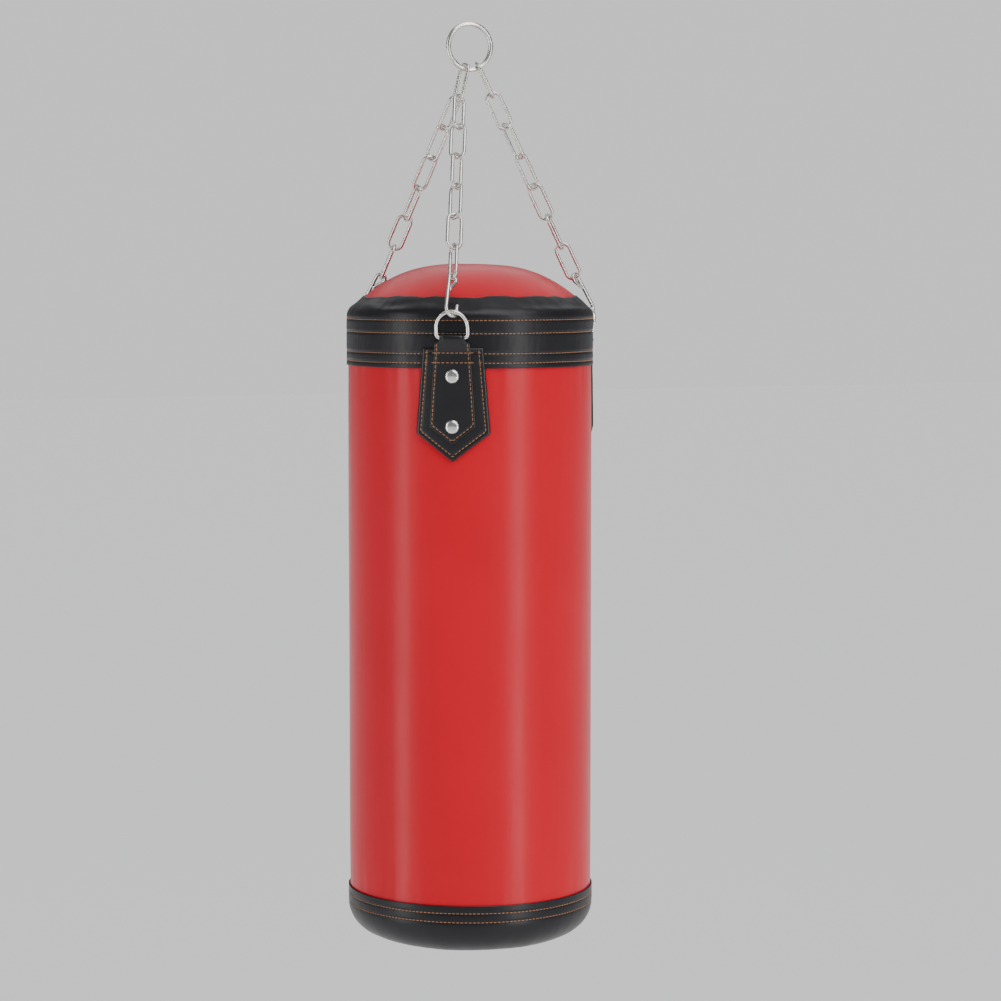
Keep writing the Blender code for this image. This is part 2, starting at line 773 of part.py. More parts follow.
def build():
    clear_scene()
    parts = new_collection("heavy_punching_bag")
    cutters = new_collection("cutters")
    looks = {
        "steel": finish("zinc_steel", (0.62, 0.62, 0.62), 0.3, 1.0),
        "chrome": finish("rivet_nickel", (0.75, 0.75, 0.76), 0.2, 1.0),
        "red": finish("red_vinyl", (0.62, 0.02, 0.03), 0.38),
        "black": finish("black_vinyl", (0.02, 0.02, 0.022), 0.42),
        "canvas": finish("canvas", (0.55, 0.5, 0.4), 0.9),
        "foam": finish("foam", (0.8, 0.8, 0.78), 0.95),
        "cloth": finish("cloth_filling", (0.35, 0.36, 0.4), 1.0),
        "plain": finish("cutter", (0.5, 0.5, 0.5), 0.5),
    }
    swing_from = swing_line()[0]
    empties = {
        "swing_side": make_empty("swing_side_axis", RING_CENTRE, parts),
        "swing_front": make_empty("swing_front_axis", swing_from, parts),
    }
    bag_empty = empties["swing_front"]
    hang_on(bag_empty, empties["swing_side"])

    make_ring(looks["steel"], parts)
    link_wire = wire_data("link_wire", link_points(), LINK_WIRE, True)
    hook_wire = wire_data("hook_wire", hook_points(), HOOK_WIRE, False)
    d_wire = wire_data("d_ring_wire", d_ring_points(), D_WIRE, True)
    make_first_links(link_wire, looks["steel"], parts, empties["swing_side"])
    for side, rolls in LINK_ROLLS.items():
        make_chain(side, rolls, link_wire, hook_wire, looks["steel"], parts, empties)
        make_d_ring(side, d_wire, looks["steel"], parts, bag_empty)

    shell = make_shell(looks["red"], parts)
    bag = [
        shell,
        make_band(looks["black"], parts),
        make_cover(looks["red"], parts),
        make_cap(looks["black"], parts),
        make_lining(looks["canvas"], parts),
        make_foam(looks["foam"], parts),
        make_filling(looks["cloth"], parts),
    ]
    for piece in bag:
        hang_on(piece, bag_empty)
    sleeves = (
        sleeve("patch_sleeve", PATCH_BORE, PATCH_WALL, looks["plain"], cutters),
        sleeve("strap_sleeve", STRAP_BORE, STRAP_WALL, looks["plain"], cutters),
    )
    for side in TAB_ANGLES:
        make_tab(side, parts, cutters, looks, sleeves, shell, bag_empty)


build()
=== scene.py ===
"""The looks of a heavy punching bag that hangs on three chains, built around its CAD frame."""

import json
from math import asin, atan2, cos, degrees, hypot, pi, radians, sin, sqrt, tan

import bmesh
import bpy
import numpy as np
from mathutils import Matrix, Vector, noise


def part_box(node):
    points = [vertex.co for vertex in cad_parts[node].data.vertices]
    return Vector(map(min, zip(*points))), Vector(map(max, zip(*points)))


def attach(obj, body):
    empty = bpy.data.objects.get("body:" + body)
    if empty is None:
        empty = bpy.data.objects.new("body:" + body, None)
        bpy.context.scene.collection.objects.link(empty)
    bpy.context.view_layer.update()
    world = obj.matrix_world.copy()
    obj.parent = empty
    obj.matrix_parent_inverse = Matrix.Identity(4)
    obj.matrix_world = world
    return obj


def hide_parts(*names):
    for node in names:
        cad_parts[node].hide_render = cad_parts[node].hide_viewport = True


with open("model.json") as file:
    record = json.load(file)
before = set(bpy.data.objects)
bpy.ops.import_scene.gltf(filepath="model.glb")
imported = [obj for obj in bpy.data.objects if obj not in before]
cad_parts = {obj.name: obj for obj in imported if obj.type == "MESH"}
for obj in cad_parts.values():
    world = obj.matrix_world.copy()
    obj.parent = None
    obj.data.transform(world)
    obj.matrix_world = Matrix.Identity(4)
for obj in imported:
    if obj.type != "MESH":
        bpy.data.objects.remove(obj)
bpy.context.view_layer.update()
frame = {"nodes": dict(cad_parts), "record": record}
parts = frame["nodes"]

# ---- Red shell ----------------------------------------------------------------------------------
# The bag's tube is one sheet of coated vinyl, rolled and sewn down its back. It is packed so tight
# that only shallow swells and faint upright pull lines are left. Its ends are under band and cap.

shell_low, shell_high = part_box("outer_shell")
band_low, band_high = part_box("top_band")
cap_low, cap_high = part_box("bottom_cap")
cover_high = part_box("top_cover")[1]

BAG_RADIUS = band_high.x
SHELL_RADIUS = shell_high.x
SHELL_WALL = 0.0025
BAND_TOP = band_high.z
BAND_BOTTOM = band_low.z
CAP_TOP = cap_high.z
BASE = cap_low.z
SKIN_COLUMNS = 288


def spun_skin(name, profile, swell, columns=SKIN_COLUMNS):
    """A skin turned around the bag's axis, closed unless its profile starts on the axis.

    profile runs down the outside and back up the inside. swell(angle, radius, height) gives an
    offset (out, up).
    """
    skin = bmesh.new()
    rings = []
    for radius, height in profile:
        if radius < 1e-6:
            out, up = swell(0.0, 0.0, height)
            rings.append([skin.verts.new((0, 0, height + up))])
            continue
        ring = []
        for k in range(columns):
            angle = 2 * pi * k / columns
            out, up = swell(angle, radius, height)
            reach = radius + out
            ring.append(skin.verts.new((reach * cos(angle), reach * sin(angle), height + up)))
        rings.append(ring)
    pairs = list(zip(rings[:-1], rings[1:]))
    if len(rings[0]) > 1:
        pairs.append((rings[-1], rings[0]))
    for upper, lower in pairs:
        if len(upper) == 1 and len(lower) == 1:
            continue
        for k in range(columns):
            nxt = (k + 1) % columns
            if len(upper) == 1:
                skin.faces.new((upper[0], lower[k], lower[nxt]))
            elif len(lower) == 1:
                skin.faces.new((upper[k], lower[0], upper[nxt]))
            else:
                skin.faces.new((upper[k], lower[k], lower[nxt], upper[nxt]))
    bmesh.ops.recalc_face_normals(skin, faces=skin.faces)
    return finished(name, skin)


def finished(name, shape):
    """A smooth-shaded object from a bmesh, with its place in its mesh."""
    mesh = bpy.data.meshes.new(name)
    shape.to_mesh(mesh)
    shape.free()
    mesh.shade_smooth()
    piece = bpy.data.objects.new(name, mesh)
    bpy.context.scene.collection.objects.link(piece)
    return piece


def ripple(angle, height, around_count, height_scale, seed):
    """Smooth noise from -1 to 1 that closes on itself around the bag."""
    place = Vector((cos(angle), sin(angle), 0)) * around_count
    place.z = height * height_scale
    return noise.noise(place + Vector((seed, seed * 1.7, seed * 0.3)))


def bell(distance, width):
    """1 at no distance, falling smoothly to 0 at about twice the width."""
    return 2.718 ** (-((distance / width) ** 2))


def wall_rows(top, bottom, count):
    return [top + (bottom - top) * i / count for i in range(count + 1)]


BACK_SEAM = pi / 3  # where the sheet's two edges meet, between the rear tabs
BACK_SEAM_HALF = 0.0024  # between the seam and each of its two rows of thread


def shell_swell(angle, radius, height):
    broad = 0.5 + 0.5 * ripple(angle, height, 1.6, 6.0, 3.0)
    pull = 0.5 + 0.5 * ripple(angle, height, 14.0, 2.2, 9.0)
    ends = bell(height - BAND_BOTTOM, 0.030) + bell(height - CAP_TOP, 0.030)
    seam = bell((angle - BACK_SEAM) * SHELL_RADIUS, 0.0040)
    return -0.0009 * broad - 0.0002 * pull - 0.0007 * min(ends, 1.0) * pull - 0.0007 * seam, 0.0


def skin_profile(radius, wall, top, bottom, rows):
    outer = [(radius, z) for z in wall_rows(top, bottom, rows)]
    inner = [(radius - wall, z) for z in wall_rows(bottom, top, max(4, rows // 12))]
    return outer + inner


def maths_node(tree, operation, first, second):
    node = tree.nodes.new("ShaderNodeMath")
    node.operation = operation
    for socket, value in zip(node.inputs, (first, second)):
        if isinstance(value, float):
            socket.default_value = value
        else:
            tree.links.new(value, socket)
    return node.outputs["Value"]


class Nodes:
    """Builds a material's node tree, one named node at a time."""

    def __init__(self, name):
        self.material = bpy.data.materials.new(name)
        self.material.use_nodes = True
        self.tree = self.material.node_tree
        self.shader = self.tree.nodes["Principled BSDF"]
        self.place = self.tree.nodes.new("ShaderNodeTexCoord").outputs["Object"]

    def link(self, source, target):
        self.tree.links.new(source, target)

    def stretched(self, scale):
        mapping = self.tree.nodes.new("ShaderNodeMapping")
        mapping.inputs["Scale"].default_value = scale
        self.link(self.place, mapping.inputs["Vector"])
        return mapping.outputs["Vector"]

    def noise(self, scale, detail=3.0, place=None):
        texture = self.tree.nodes.new("ShaderNodeTexNoise")
        texture.inputs["Scale"].default_value = scale
        texture.inputs["Detail"].default_value = detail
        self.link(place or self.place, texture.inputs["Vector"])
        return texture.outputs["Fac"]

    def cells(self, scale, feature="F1", place=None):
        texture = self.tree.nodes.new("ShaderNodeTexVoronoi")
        texture.feature = feature
        texture.inputs["Scale"].default_value = scale
        self.link(place or self.place, texture.inputs["Vector"])
        return texture.outputs["Distance"]

    def wave(self, scale, direction, place=None):
        texture = self.tree.nodes.new("ShaderNodeTexWave")
        texture.bands_direction = direction
        texture.inputs["Scale"].default_value = scale
        self.link(place or self.place, texture.inputs["Vector"])
        return texture.outputs["Fac"]

    def spread(self, value, low, high, from_low=0.15, from_high=0.85):
        fit = self.tree.nodes.new("ShaderNodeMapRange")
        fit.inputs["From Min"].default_value = from_low
        fit.inputs["From Max"].default_value = from_high
        fit.inputs["To Min"].default_value = low
        fit.inputs["To Max"].default_value = high
        self.link(value, fit.inputs["Value"])
        return fit.outputs["Result"]

    def maths(self, operation, first, second):
        return maths_node(self.tree, operation, first, second)

    def mixed(self, amount, low_colour, high_colour):
        mix = self.tree.nodes.new("ShaderNodeMix")
        mix.data_type = "RGBA"
        self.link(amount, mix.inputs["Factor"])
        mix.inputs["A"].default_value = (*low_colour, 1)
        mix.inputs["B"].default_value = (*high_colour, 1)
        return mix.outputs["Result"]

    def bump(self, height, strength, distance, under=None):
        node = self.tree.nodes.new("ShaderNodeBump")
        node.inputs["Strength"].default_value = strength
        node.inputs["Distance"].default_value = distance
        self.link(height, node.inputs["Height"])
        if under is not None:
            self.link(under, node.inputs["Normal"])
        return node.outputs["Normal"]

    def set(self, **values):
        for name, value in values.items():
            socket = self.shader.inputs[name.replace("_", " ")]
            if isinstance(value, bpy.types.NodeSocket):
                self.link(value, socket)
            else:
                socket.default_value = value
        return self.material


def vinyl(name, light, dark, gloss, coat, shine):
    """Coated vinyl: a fine pebble grain under a thin even coat, with faint handling marks."""
    nodes = Nodes(name)
    grain = nodes.cells(850.0)
    fine = nodes.noise(2600.0, 2.0)
    pebble = nodes.maths("ADD", grain, nodes.maths("MULTIPLY", fine, 0.35))
    soft = nodes.noise(7.0, 4.0)
    marks = nodes.noise(30.0, 2.0, nodes.stretched((1.0, 1.0, 0.4)))
    normal = nodes.bump(pebble, 0.35, 0.00012)
    normal = nodes.bump(nodes.noise(120.0, 3.0), 0.25, 0.0003, normal)
    return nodes.set(
        Base_Color=nodes.mixed(nodes.spread(soft, 0.0, 1.0), light, dark),
        Roughness=nodes.spread(marks, gloss - 0.01, gloss + 0.06),
        Normal=normal,
        Specular_IOR_Level=shine,
        Coat_Weight=coat,
        Coat_Roughness=0.3,
    )


red_vinyl = vinyl("red_vinyl", (0.60, 0.0010, 0.0150), (0.53, 0.0008, 0.0120), 0.29, 0.03, 0.22)
shell = spun_skin(
    "bag_shell", skin_profile(SHELL_RADIUS, SHELL_WALL, shell_high.z, shell_low.z, 150), shell_swell
)
shell.data.materials.append(red_vinyl)
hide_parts("outer_shell")
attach(shell, "bag")

# ---- Black top band -----------------------------------------------------------------------------
# A collar of black vinyl sewn round the top by four rows of thread and turned in over the shoulder,
# where it gathers into small folds before the seam with the red cover.

BAND_ROWS = (0.0560, 0.0408, 0.0170, 0.0061)  # stitch rows above the band's lower edge
BAND_WALL = 0.0012
SHOULDER = 0.0180
SHOULDER_CORNER = 0.0140
SHOULDER_TURN = radians(48.0)
SEAM_RADIUS = BAG_RADIUS - SHOULDER
CORNER_RADIUS = BAG_RADIUS - SHOULDER_CORNER
CORNER_END = CORNER_RADIUS + SHOULDER_CORNER * cos(SHOULDER_TURN)
SHOULDER_LEVEL = (
    BAND_TOP - (CORNER_END - SEAM_RADIUS) / tan(SHOULDER_TURN) - SHOULDER_CORNER * sin(SHOULDER_TURN)
)
COVER_RIM = cover_high.x
COVER_RIM_LEVEL = BAND_TOP - BAND_WALL
COVER_RISE = cover_high.z - COVER_RIM_LEVEL
COVER_FULLNESS = 2.8  # 2 is a parabola; more is flatter on top and steeper at the rim


def crown_height(radius):
    """The stuffed crown's surface at a distance from the axis."""
    return COVER_RIM_LEVEL + COVER_RISE * (1 - min(1.0, radius / COVER_RIM) ** COVER_FULLNESS)


def smooth_step(value):
    value = max(0.0, min(1.0, value))
    return value * value * (3.0 - 2.0 * value)


def sewn_dip(height, rows, depth, width=0.0016):
    """How far a row of thread pulls a skin in, at a height."""
    return -depth * min(1.0, sum(bell(height - row, width) for row in rows))


def band_heights():
    return [BAND_BOTTOM + row for row in BAND_ROWS]


def band_swell(angle, radius, height):
    fullness = 0.00035 * ripple(angle, height, 5.0, 22.0, 21.0)
    pucker = 0.00018 * ripple(angle, height, 60.0, 60.0, 5.0)
    dip = sewn_dip(height, band_heights(), 0.0006)
    gather = smooth_step((height - SHOULDER_LEVEL + 0.006) / (BAND_TOP - SHOULDER_LEVEL))
    folds = ripple(angle, height, 4.0, 130.0, 40.0) + 0.5 * ripple(angle, height, 16.0, 60.0, 50.0)
    fold = -0.0010 * gather * (0.6 + folds)
    out = (fullness + pucker + dip) * (1.0 - gather) + min(fold, 0.0) * sin(SHOULDER_TURN) - 0.0003
    up = min(fold, 0.0) * cos(SHOULDER_TURN)
    lip = max(0.0, (CORNER_END - radius) / (CORNER_END - SEAM_RADIUS)) ** 2
    if radius < SEAM_RADIUS + 0.5 * SHOULDER and height > SHOULDER_LEVEL and lip > 0.0:
        waves = ripple(angle, 0.0, 2.6, 0.0, 61.0) + 0.6 * ripple(angle, 0.0, 7.0, 0.0, 66.0)
        reach = 0.0022 + 0.0026 * waves
        climb = crown_height(SEAM_RADIUS - reach) - BAND_TOP + 0.0011
        out -= lip * reach
        up = up * (1.0 - lip) + lip * climb
    return out, up


def band_profile():
    """The outside from the seam down the slope, round the corner and down the wall."""
    slope_end = SHOULDER_LEVEL + SHOULDER_CORNER * sin(SHOULDER_TURN)
    outer = [
        (SEAM_RADIUS + (CORNER_END - SEAM_RADIUS) * i / 16, BAND_TOP + (slope_end - BAND_TOP) * i / 16)
        for i in range(16)
    ]
    turns = [SHOULDER_TURN * (1 - i / 10) for i in range(10)]
    outer += [
        (CORNER_RADIUS + SHOULDER_CORNER * cos(t), SHOULDER_LEVEL + SHOULDER_CORNER * sin(t)) for t in turns
    ]
    outer += [(BAG_RADIUS, z) for z in wall_rows(SHOULDER_LEVEL, BAND_BOTTOM, 66)]
    inner_corner = SHOULDER_CORNER - BAND_WALL
    inner = [(BAG_RADIUS - BAND_WALL, z) for z in wall_rows(BAND_BOTTOM, SHOULDER_LEVEL, 8)]
    inner += [
        (CORNER_RADIUS + inner_corner * cos(t), SHOULDER_LEVEL + inner_corner * sin(t))
        for t in reversed(turns[1:])
    ]
    inner += [(r - 0.0001, z - 0.0012) for r, z in reversed(outer[:16:3])]
    return outer + inner


band = spun_skin("top_band_skin", band_profile(), band_swell, 360)
black_vinyl = vinyl("black_vinyl", (0.0075, 0.0075, 0.0100), (0.0045, 0.0045, 0.0062), 0.36, 0.04, 0.32)
band.data.materials.append(black_vinyl)
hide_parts("top_band")
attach(band, "bag")

# ---- Red domed cover ----------------------------------------------------------------------------
# A disc of the shell's vinyl over the filling. The stuffing crowns it, and the seam with the band
# pulls its rim into short soft puckers.

COVER_WALL = 0.0025


def cover_swell(angle, radius, height):
    near_rim = max(0.0, (radius / COVER_RIM - 0.5) / 0.5) ** 2
    puckers = ripple(angle, 0.0, 6.0, 0.0, 71.0) + 0.4 * ripple(angle, 0.0, 19.0, 0.0, 75.0)
    broad = ripple(angle, radius, 1.5, 18.0, 80.0) * min(1.0, radius / 0.03)
    return 0.0, 0.0005 * near_rim * puckers + 0.0007 * broad - 0.0009


def cover_rows(steps, wall=0.0):
    radii = [COVER_RIM * i / steps for i in range(steps + 1)]
    return [(radius, crown_height(radius) - wall) for radius in radii]


cover_profile = cover_rows(64) + list(reversed(cover_rows(14, COVER_WALL)))
cover = spun_skin("top_cover_skin", cover_profile, cover_swell)
cover.data.materials.append(red_vinyl)
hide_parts("top_cover")
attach(cover, "bag")

# ---- Black bottom cap ---------------------------------------------------------------------------
# A cup of black vinyl that closes the bottom, sewn on by two rows of thread below its upper edge.
# The filling's weight slumps its rounded corner a little unevenly.

CAP_ROWS = (0.0090, 0.0195)  # stitch rows below the cap's upper edge
CAP_WALL = 0.0025
CAP_CORNER = 0.0420


def cap_heights():
    return [CAP_TOP - row for row in CAP_ROWS]


def cap_swell(angle, radius, height):
    pucker = 0.00018 * ripple(angle, height, 60.0, 60.0, 15.0)
    dip = sewn_dip(height, cap_heights(), 0.0006)
    low = max(0.0, min(1.0, (BASE + CAP_CORNER - height) / CAP_CORNER))
    around_corner = low * min(1.0, radius / 0.06)
    slump = 0.5 + 0.5 * ripple(angle, 0.0, 1.3, 0.0, 91.0)
    crease = 0.0006 * ripple(angle, height, 10.0, 40.0, 95.0)
    out = pucker + dip - 0.0030 * slump * around_corner + crease * low
    up = 0.0042 * slump * around_corner * min(1.0, radius / 0.13)
    return out - 0.0002, up


def corner_profile(radius, corner, level, steps):
    turns = [-pi / 2 * i / steps for i in range(steps + 1)]
    return [(radius - corner + corner * cos(t), level + corner * sin(t)) for t in turns]


corner_level = BASE + CAP_CORNER
cap_outer = [(BAG_RADIUS, z) for z in wall_rows(CAP_TOP, corner_level, 24)]
cap_outer += corner_profile(BAG_RADIUS, CAP_CORNER, corner_level, 22)[1:]
base_edge = cap_outer[-1][0]
cap_outer += [(base_edge * (1 - i / 12), BASE) for i in range(1, 13)]
cap_inner = [(0, BASE + CAP_WALL), (base_edge / 2, BASE + CAP_WALL)]
cap_inner += list(reversed(corner_profile(BAG_RADIUS - 0.0012, CAP_CORNER - 0.0012, corner_level, 10)))
cap_inner.append((BAG_RADIUS - 0.0012, CAP_TOP))

cap = spun_skin("bottom_cap_skin", cap_outer + cap_inner, cap_swell)
cap.data.materials.append(black_vinyl)
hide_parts("bottom_cap")
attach(cap, "bag")

# ---- Patches under the hanging straps -----------------------------------------------------------
# Three pointed patches of black vinyl lie over the band's lower edge and spread the strap's pull.
# Each has a turned edge and one border row of thread.

SIDES = {"right": 0.0, "left": 120.0, "front": -120.0}  # degrees around the bag, from +X
patch_low, patch_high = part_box("patch_right")
PATCH_TOP = patch_high.z
PATCH_FACE = patch_high.x
PATCH_WALL = 0.0018
PATCH_TOP_WIDTH = 0.0720
PATCH_WIDTH = patch_high.y - patch_low.y
PATCH_SIDE = 0.1000
PATCH_POINT = PATCH_TOP - patch_low.z - PATCH_SIDE
EDGE_ROW = 0.0053  # border stitches inside a panel's edge
PANEL_STEP = 0.0013

PATCH_OUTLINE = [
    (-PATCH_TOP_WIDTH / 2, 0.0),
    (-PATCH_WIDTH / 2, -PATCH_SIDE),
    (0.0, -PATCH_SIDE - PATCH_POINT),
    (PATCH_WIDTH / 2, -PATCH_SIDE),
    (PATCH_TOP_WIDTH / 2, 0.0),
]


def inside_by(x, drop, outline, closed=True):
    """How far a point of a panel lies from its outline."""
    ends = outline[1:] + outline[:1] if closed else outline[1:]
    near = 1.0
    for (ax, az), (bx, bz) in zip(outline, ends):
        run, fall = bx - ax, bz - az
        share = ((x - ax) * run + (drop - az) * fall) / (run * run + fall * fall)
        share = max(0.0, min(1.0, share))
        near = min(near, hypot(x - ax - share * run, drop - az - share * fall))
    return near


def half_width(drop, outline):
    """Half the width of a mirror-image outline at a height."""
    right = [(x, z) for x, z in outline if x >= 0.0]
    right.sort(key=lambda point: point[1])
    for (ax, az), (bx, bz) in zip(right[:-1], right[1:]):
        if az <= drop <= bz:
            return ax + (bx - ax) * (drop - az) / max(bz - az, 1e-9)
    return right[-1][0] if drop > right[-1][1] else right[0][0]


def rounded_edge(depth_inside, radius):
    """How much a panel's face drops near its edge."""
    if depth_inside >= radius:
        return 0.0
    gone = 1.0 - max(depth_inside, 0.0) / radius
    return radius * (1.0 - sqrt(max(0.0, 1.0 - gone * gone)))


def on_bag(side, x, radius, height):
    """A place at a tab: x across it, at a distance from the bag's axis."""
    turn = radians(SIDES[side]) + asin(x / radius)
    return Vector((radius * cos(turn), radius * sin(turn), height))


def panel_mesh(name, rows, columns, front, back):
    """A closed panel from two grids. front and back give a vertex for (row, -1..1 across)."""
    panel = bmesh.new()
    across = [-1.0 + 2.0 * k / columns for k in range(columns + 1)]
    fronts = [[panel.verts.new(front(i, u)) for u in across] for i in range(rows + 1)]
    backs = [[panel.verts.new(back(i, u)) for u in across] for i in range(rows + 1)]
    for i in range(rows):
        for k in range(columns):
            panel.faces.new((fronts[i][k], fronts[i + 1][k], fronts[i + 1][k + 1], fronts[i][k + 1]))
            panel.faces.new((backs[i][k], backs[i][k + 1], backs[i + 1][k + 1], backs[i + 1][k]))
        panel.faces.new((fronts[i][0], backs[i][0], backs[i + 1][0], fronts[i + 1][0]))
        panel.faces.new((fronts[i][-1], fronts[i + 1][-1], backs[i + 1][-1], backs[i][-1]))
    for k in range(columns):
        panel.faces.new((fronts[0][k], fronts[0][k + 1], backs[0][k + 1], backs[0][k]))
        panel.faces.new((fronts[-1][k], backs[-1][k], backs[-1][k + 1], fronts[-1][k + 1]))
    bmesh.ops.remove_doubles(panel, verts=panel.verts, dist=0.00002)
    bmesh.ops.recalc_face_normals(panel, faces=panel.faces)
    return finished(name, panel)


def patch_face(side, x, drop):
    """The radius of the patch's face."""
    depth = inside_by(x, drop, PATCH_OUTLINE)
    seed = SIDES[side]
    soft = 0.00012 * noise.noise(Vector((x * 55.0, drop * 55.0, seed)))
    dip = 0.0005 * bell(depth - EDGE_ROW, 0.0010)
    return PATCH_FACE + soft - dip - rounded_edge(depth, 0.0012) - 0.0002


def patch_rows():
    count = int((PATCH_SIDE + PATCH_POINT) / PANEL_STEP)
    return [-(PATCH_SIDE + PATCH_POINT) * i / count for i in range(count + 1)]


def make_patch(side):
    drops = patch_rows()
    spread = [max(half_width(drop, PATCH_OUTLINE), 0.0004) for drop in drops]

    def front(i, u):
        x = u * spread[i]
        return on_bag(side, x, patch_face(side, x, drops[i]), PATCH_TOP + drops[i])

    def back(i, u):
        return on_bag(side, u * spread[i], PATCH_FACE - PATCH_WALL, PATCH_TOP + drops[i])

    patch = panel_mesh(f"patch_skin_{side}", len(drops) - 1, 56, front, back)
    patch.data.materials.append(tab_vinyl)
    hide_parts(f"patch_{side}")
    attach(patch, "bag")


tab_vinyl = vinyl("tab_vinyl", (0.0060, 0.0060, 0.0080), (0.0035, 0.0035, 0.0048), 0.29, 0.15, 0.45)
for side in SIDES:
    make_patch(side)

# ---- Hanging straps -----------------------------------------------------------------------------
# A strap of two plies runs up each patch, narrows, and folds around the D-ring's bar. It is sewn
# round its border and riveted twice through patch and shell.

D_WIRE = 0.0045
STRAP_PLY = 0.0016
STRAP_EYE = D_WIRE / 2 + 0.0004 + STRAP_PLY
STRAP_TOP_WIDTH = 0.0300
STRAP_MARGIN = 0.0165
STRAP_FLARE = 0.0063
STRAP_EDGE_ROW = 0.0030

strap_low, strap_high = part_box("strap_right")
BAR_HEIGHT = strap_high.z - STRAP_EYE
BAR_RADIUS = strap_high.x - STRAP_EYE
STRAP_FACE = PATCH_FACE + 0.0003 + 0.0030
NECK = BAR_HEIGHT - PATCH_TOP
FOLD_BLEND = 0.0180

STRAP_HALF = PATCH_WIDTH / 2 - STRAP_MARGIN
STRAP_NECK_HALF = STRAP_HALF - STRAP_FLARE
UNDER_BAR = D_WIRE / 2 + 0.0012
STRAP_OUTLINE = [
    (-STRAP_TOP_WIDTH / 2, 0.0200),
    (-STRAP_TOP_WIDTH / 2, -UNDER_BAR),
    (-STRAP_NECK_HALF, -UNDER_BAR - (STRAP_NECK_HALF - STRAP_TOP_WIDTH / 2) / 2),
    (-STRAP_HALF, -NECK - PATCH_SIDE + STRAP_MARGIN / 2),
    (0.0, strap_low.z - BAR_HEIGHT),
    (STRAP_HALF, -NECK - PATCH_SIDE + STRAP_MARGIN / 2),
    (STRAP_NECK_HALF, -UNDER_BAR - (STRAP_NECK_HALF - STRAP_TOP_WIDTH / 2) / 2),
    (STRAP_TOP_WIDTH / 2, -UNDER_BAR),
    (STRAP_TOP_WIDTH / 2, 0.0200),
]


def strap_path():
    """Rows of (outer radius, outer height, inner radius, inner height, place along the strap)."""
    tip = strap_low.z - BAR_HEIGHT
    count = int(-tip / PANEL_STEP)
    rows = []
    for i in range(count + 1):
        drop = tip * (1 - i / count)
        rise = smooth_step((drop + FOLD_BLEND) / FOLD_BLEND)
        outer = STRAP_FACE + (BAR_RADIUS + STRAP_EYE - STRAP_FACE) * rise
        plies = 0.0030 - (0.0030 - STRAP_PLY) * smooth_step((drop + 1.6 * NECK) / NECK)
        rows.append((outer, BAR_HEIGHT + drop, outer - plies, BAR_HEIGHT + drop, drop))
    for i in range(1, 13):
        turn = pi * i / 12
        inner = STRAP_EYE - STRAP_PLY
        rows.append(
            (
                BAR_RADIUS + STRAP_EYE * cos(turn),
                BAR_HEIGHT + STRAP_EYE * sin(turn),
                BAR_RADIUS + inner * cos(turn),
                BAR_HEIGHT + inner * sin(turn),
                0.001 * i,
            )
        )
    for i in range(1, 6):
        height = BAR_HEIGHT - (NECK - 0.0006) * i / 5
        rows.append((BAR_RADIUS - STRAP_EYE, height, BAR_RADIUS - STRAP_EYE + STRAP_PLY, height, 0.012))
    return rows


def strap_soft(side, x, drop):
    """The strap's face from flat: rounded edges, the border's dip and a slight unevenness."""
    depth = inside_by(x, drop, STRAP_OUTLINE, closed=False)
    soft = 0.00018 * noise.noise(Vector((x * 40.0, drop * 40.0, SIDES[side] + 7.0)))
    dip = 0.0006 * bell(depth - STRAP_EDGE_ROW, 0.0009)
    return soft - dip - rounded_edge(depth, 0.0010)


def make_strap(side):
    rows = strap_path()

    def spread(i):
        return max(half_width(rows[i][4], STRAP_OUTLINE), 0.0004)

    def front(i, u):
        outer, height, inner, inner_height, drop = rows[i]
        x = u * spread(i)
        away = Vector((outer - inner, height - inner_height)).normalized()
        off = strap_soft(side, x, drop)
        return on_bag(side, x, outer + off * away.x, height + off * away.y)

    def back(i, u):
        return on_bag(side, u * spread(i), rows[i][2], rows[i][3])

    strap = panel_mesh(f"strap_skin_{side}", len(rows) - 1, 44, front, back)
    strap.data.materials.append(tab_vinyl)
    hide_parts(f"strap_{side}")
    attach(strap, "bag")


for side in SIDES:
    make_strap(side)

# ---- Stitching ----------------------------------------------------------------------------------
# Thick copper-coloured polyester thread in a long lockstitch: four rows on the band, two on the
# cap, and the borders of patches and straps with two rows across each patch's head.

STITCH_PITCH = 0.0050
STITCH_LENGTH = 0.0039
THREAD = 0.0010


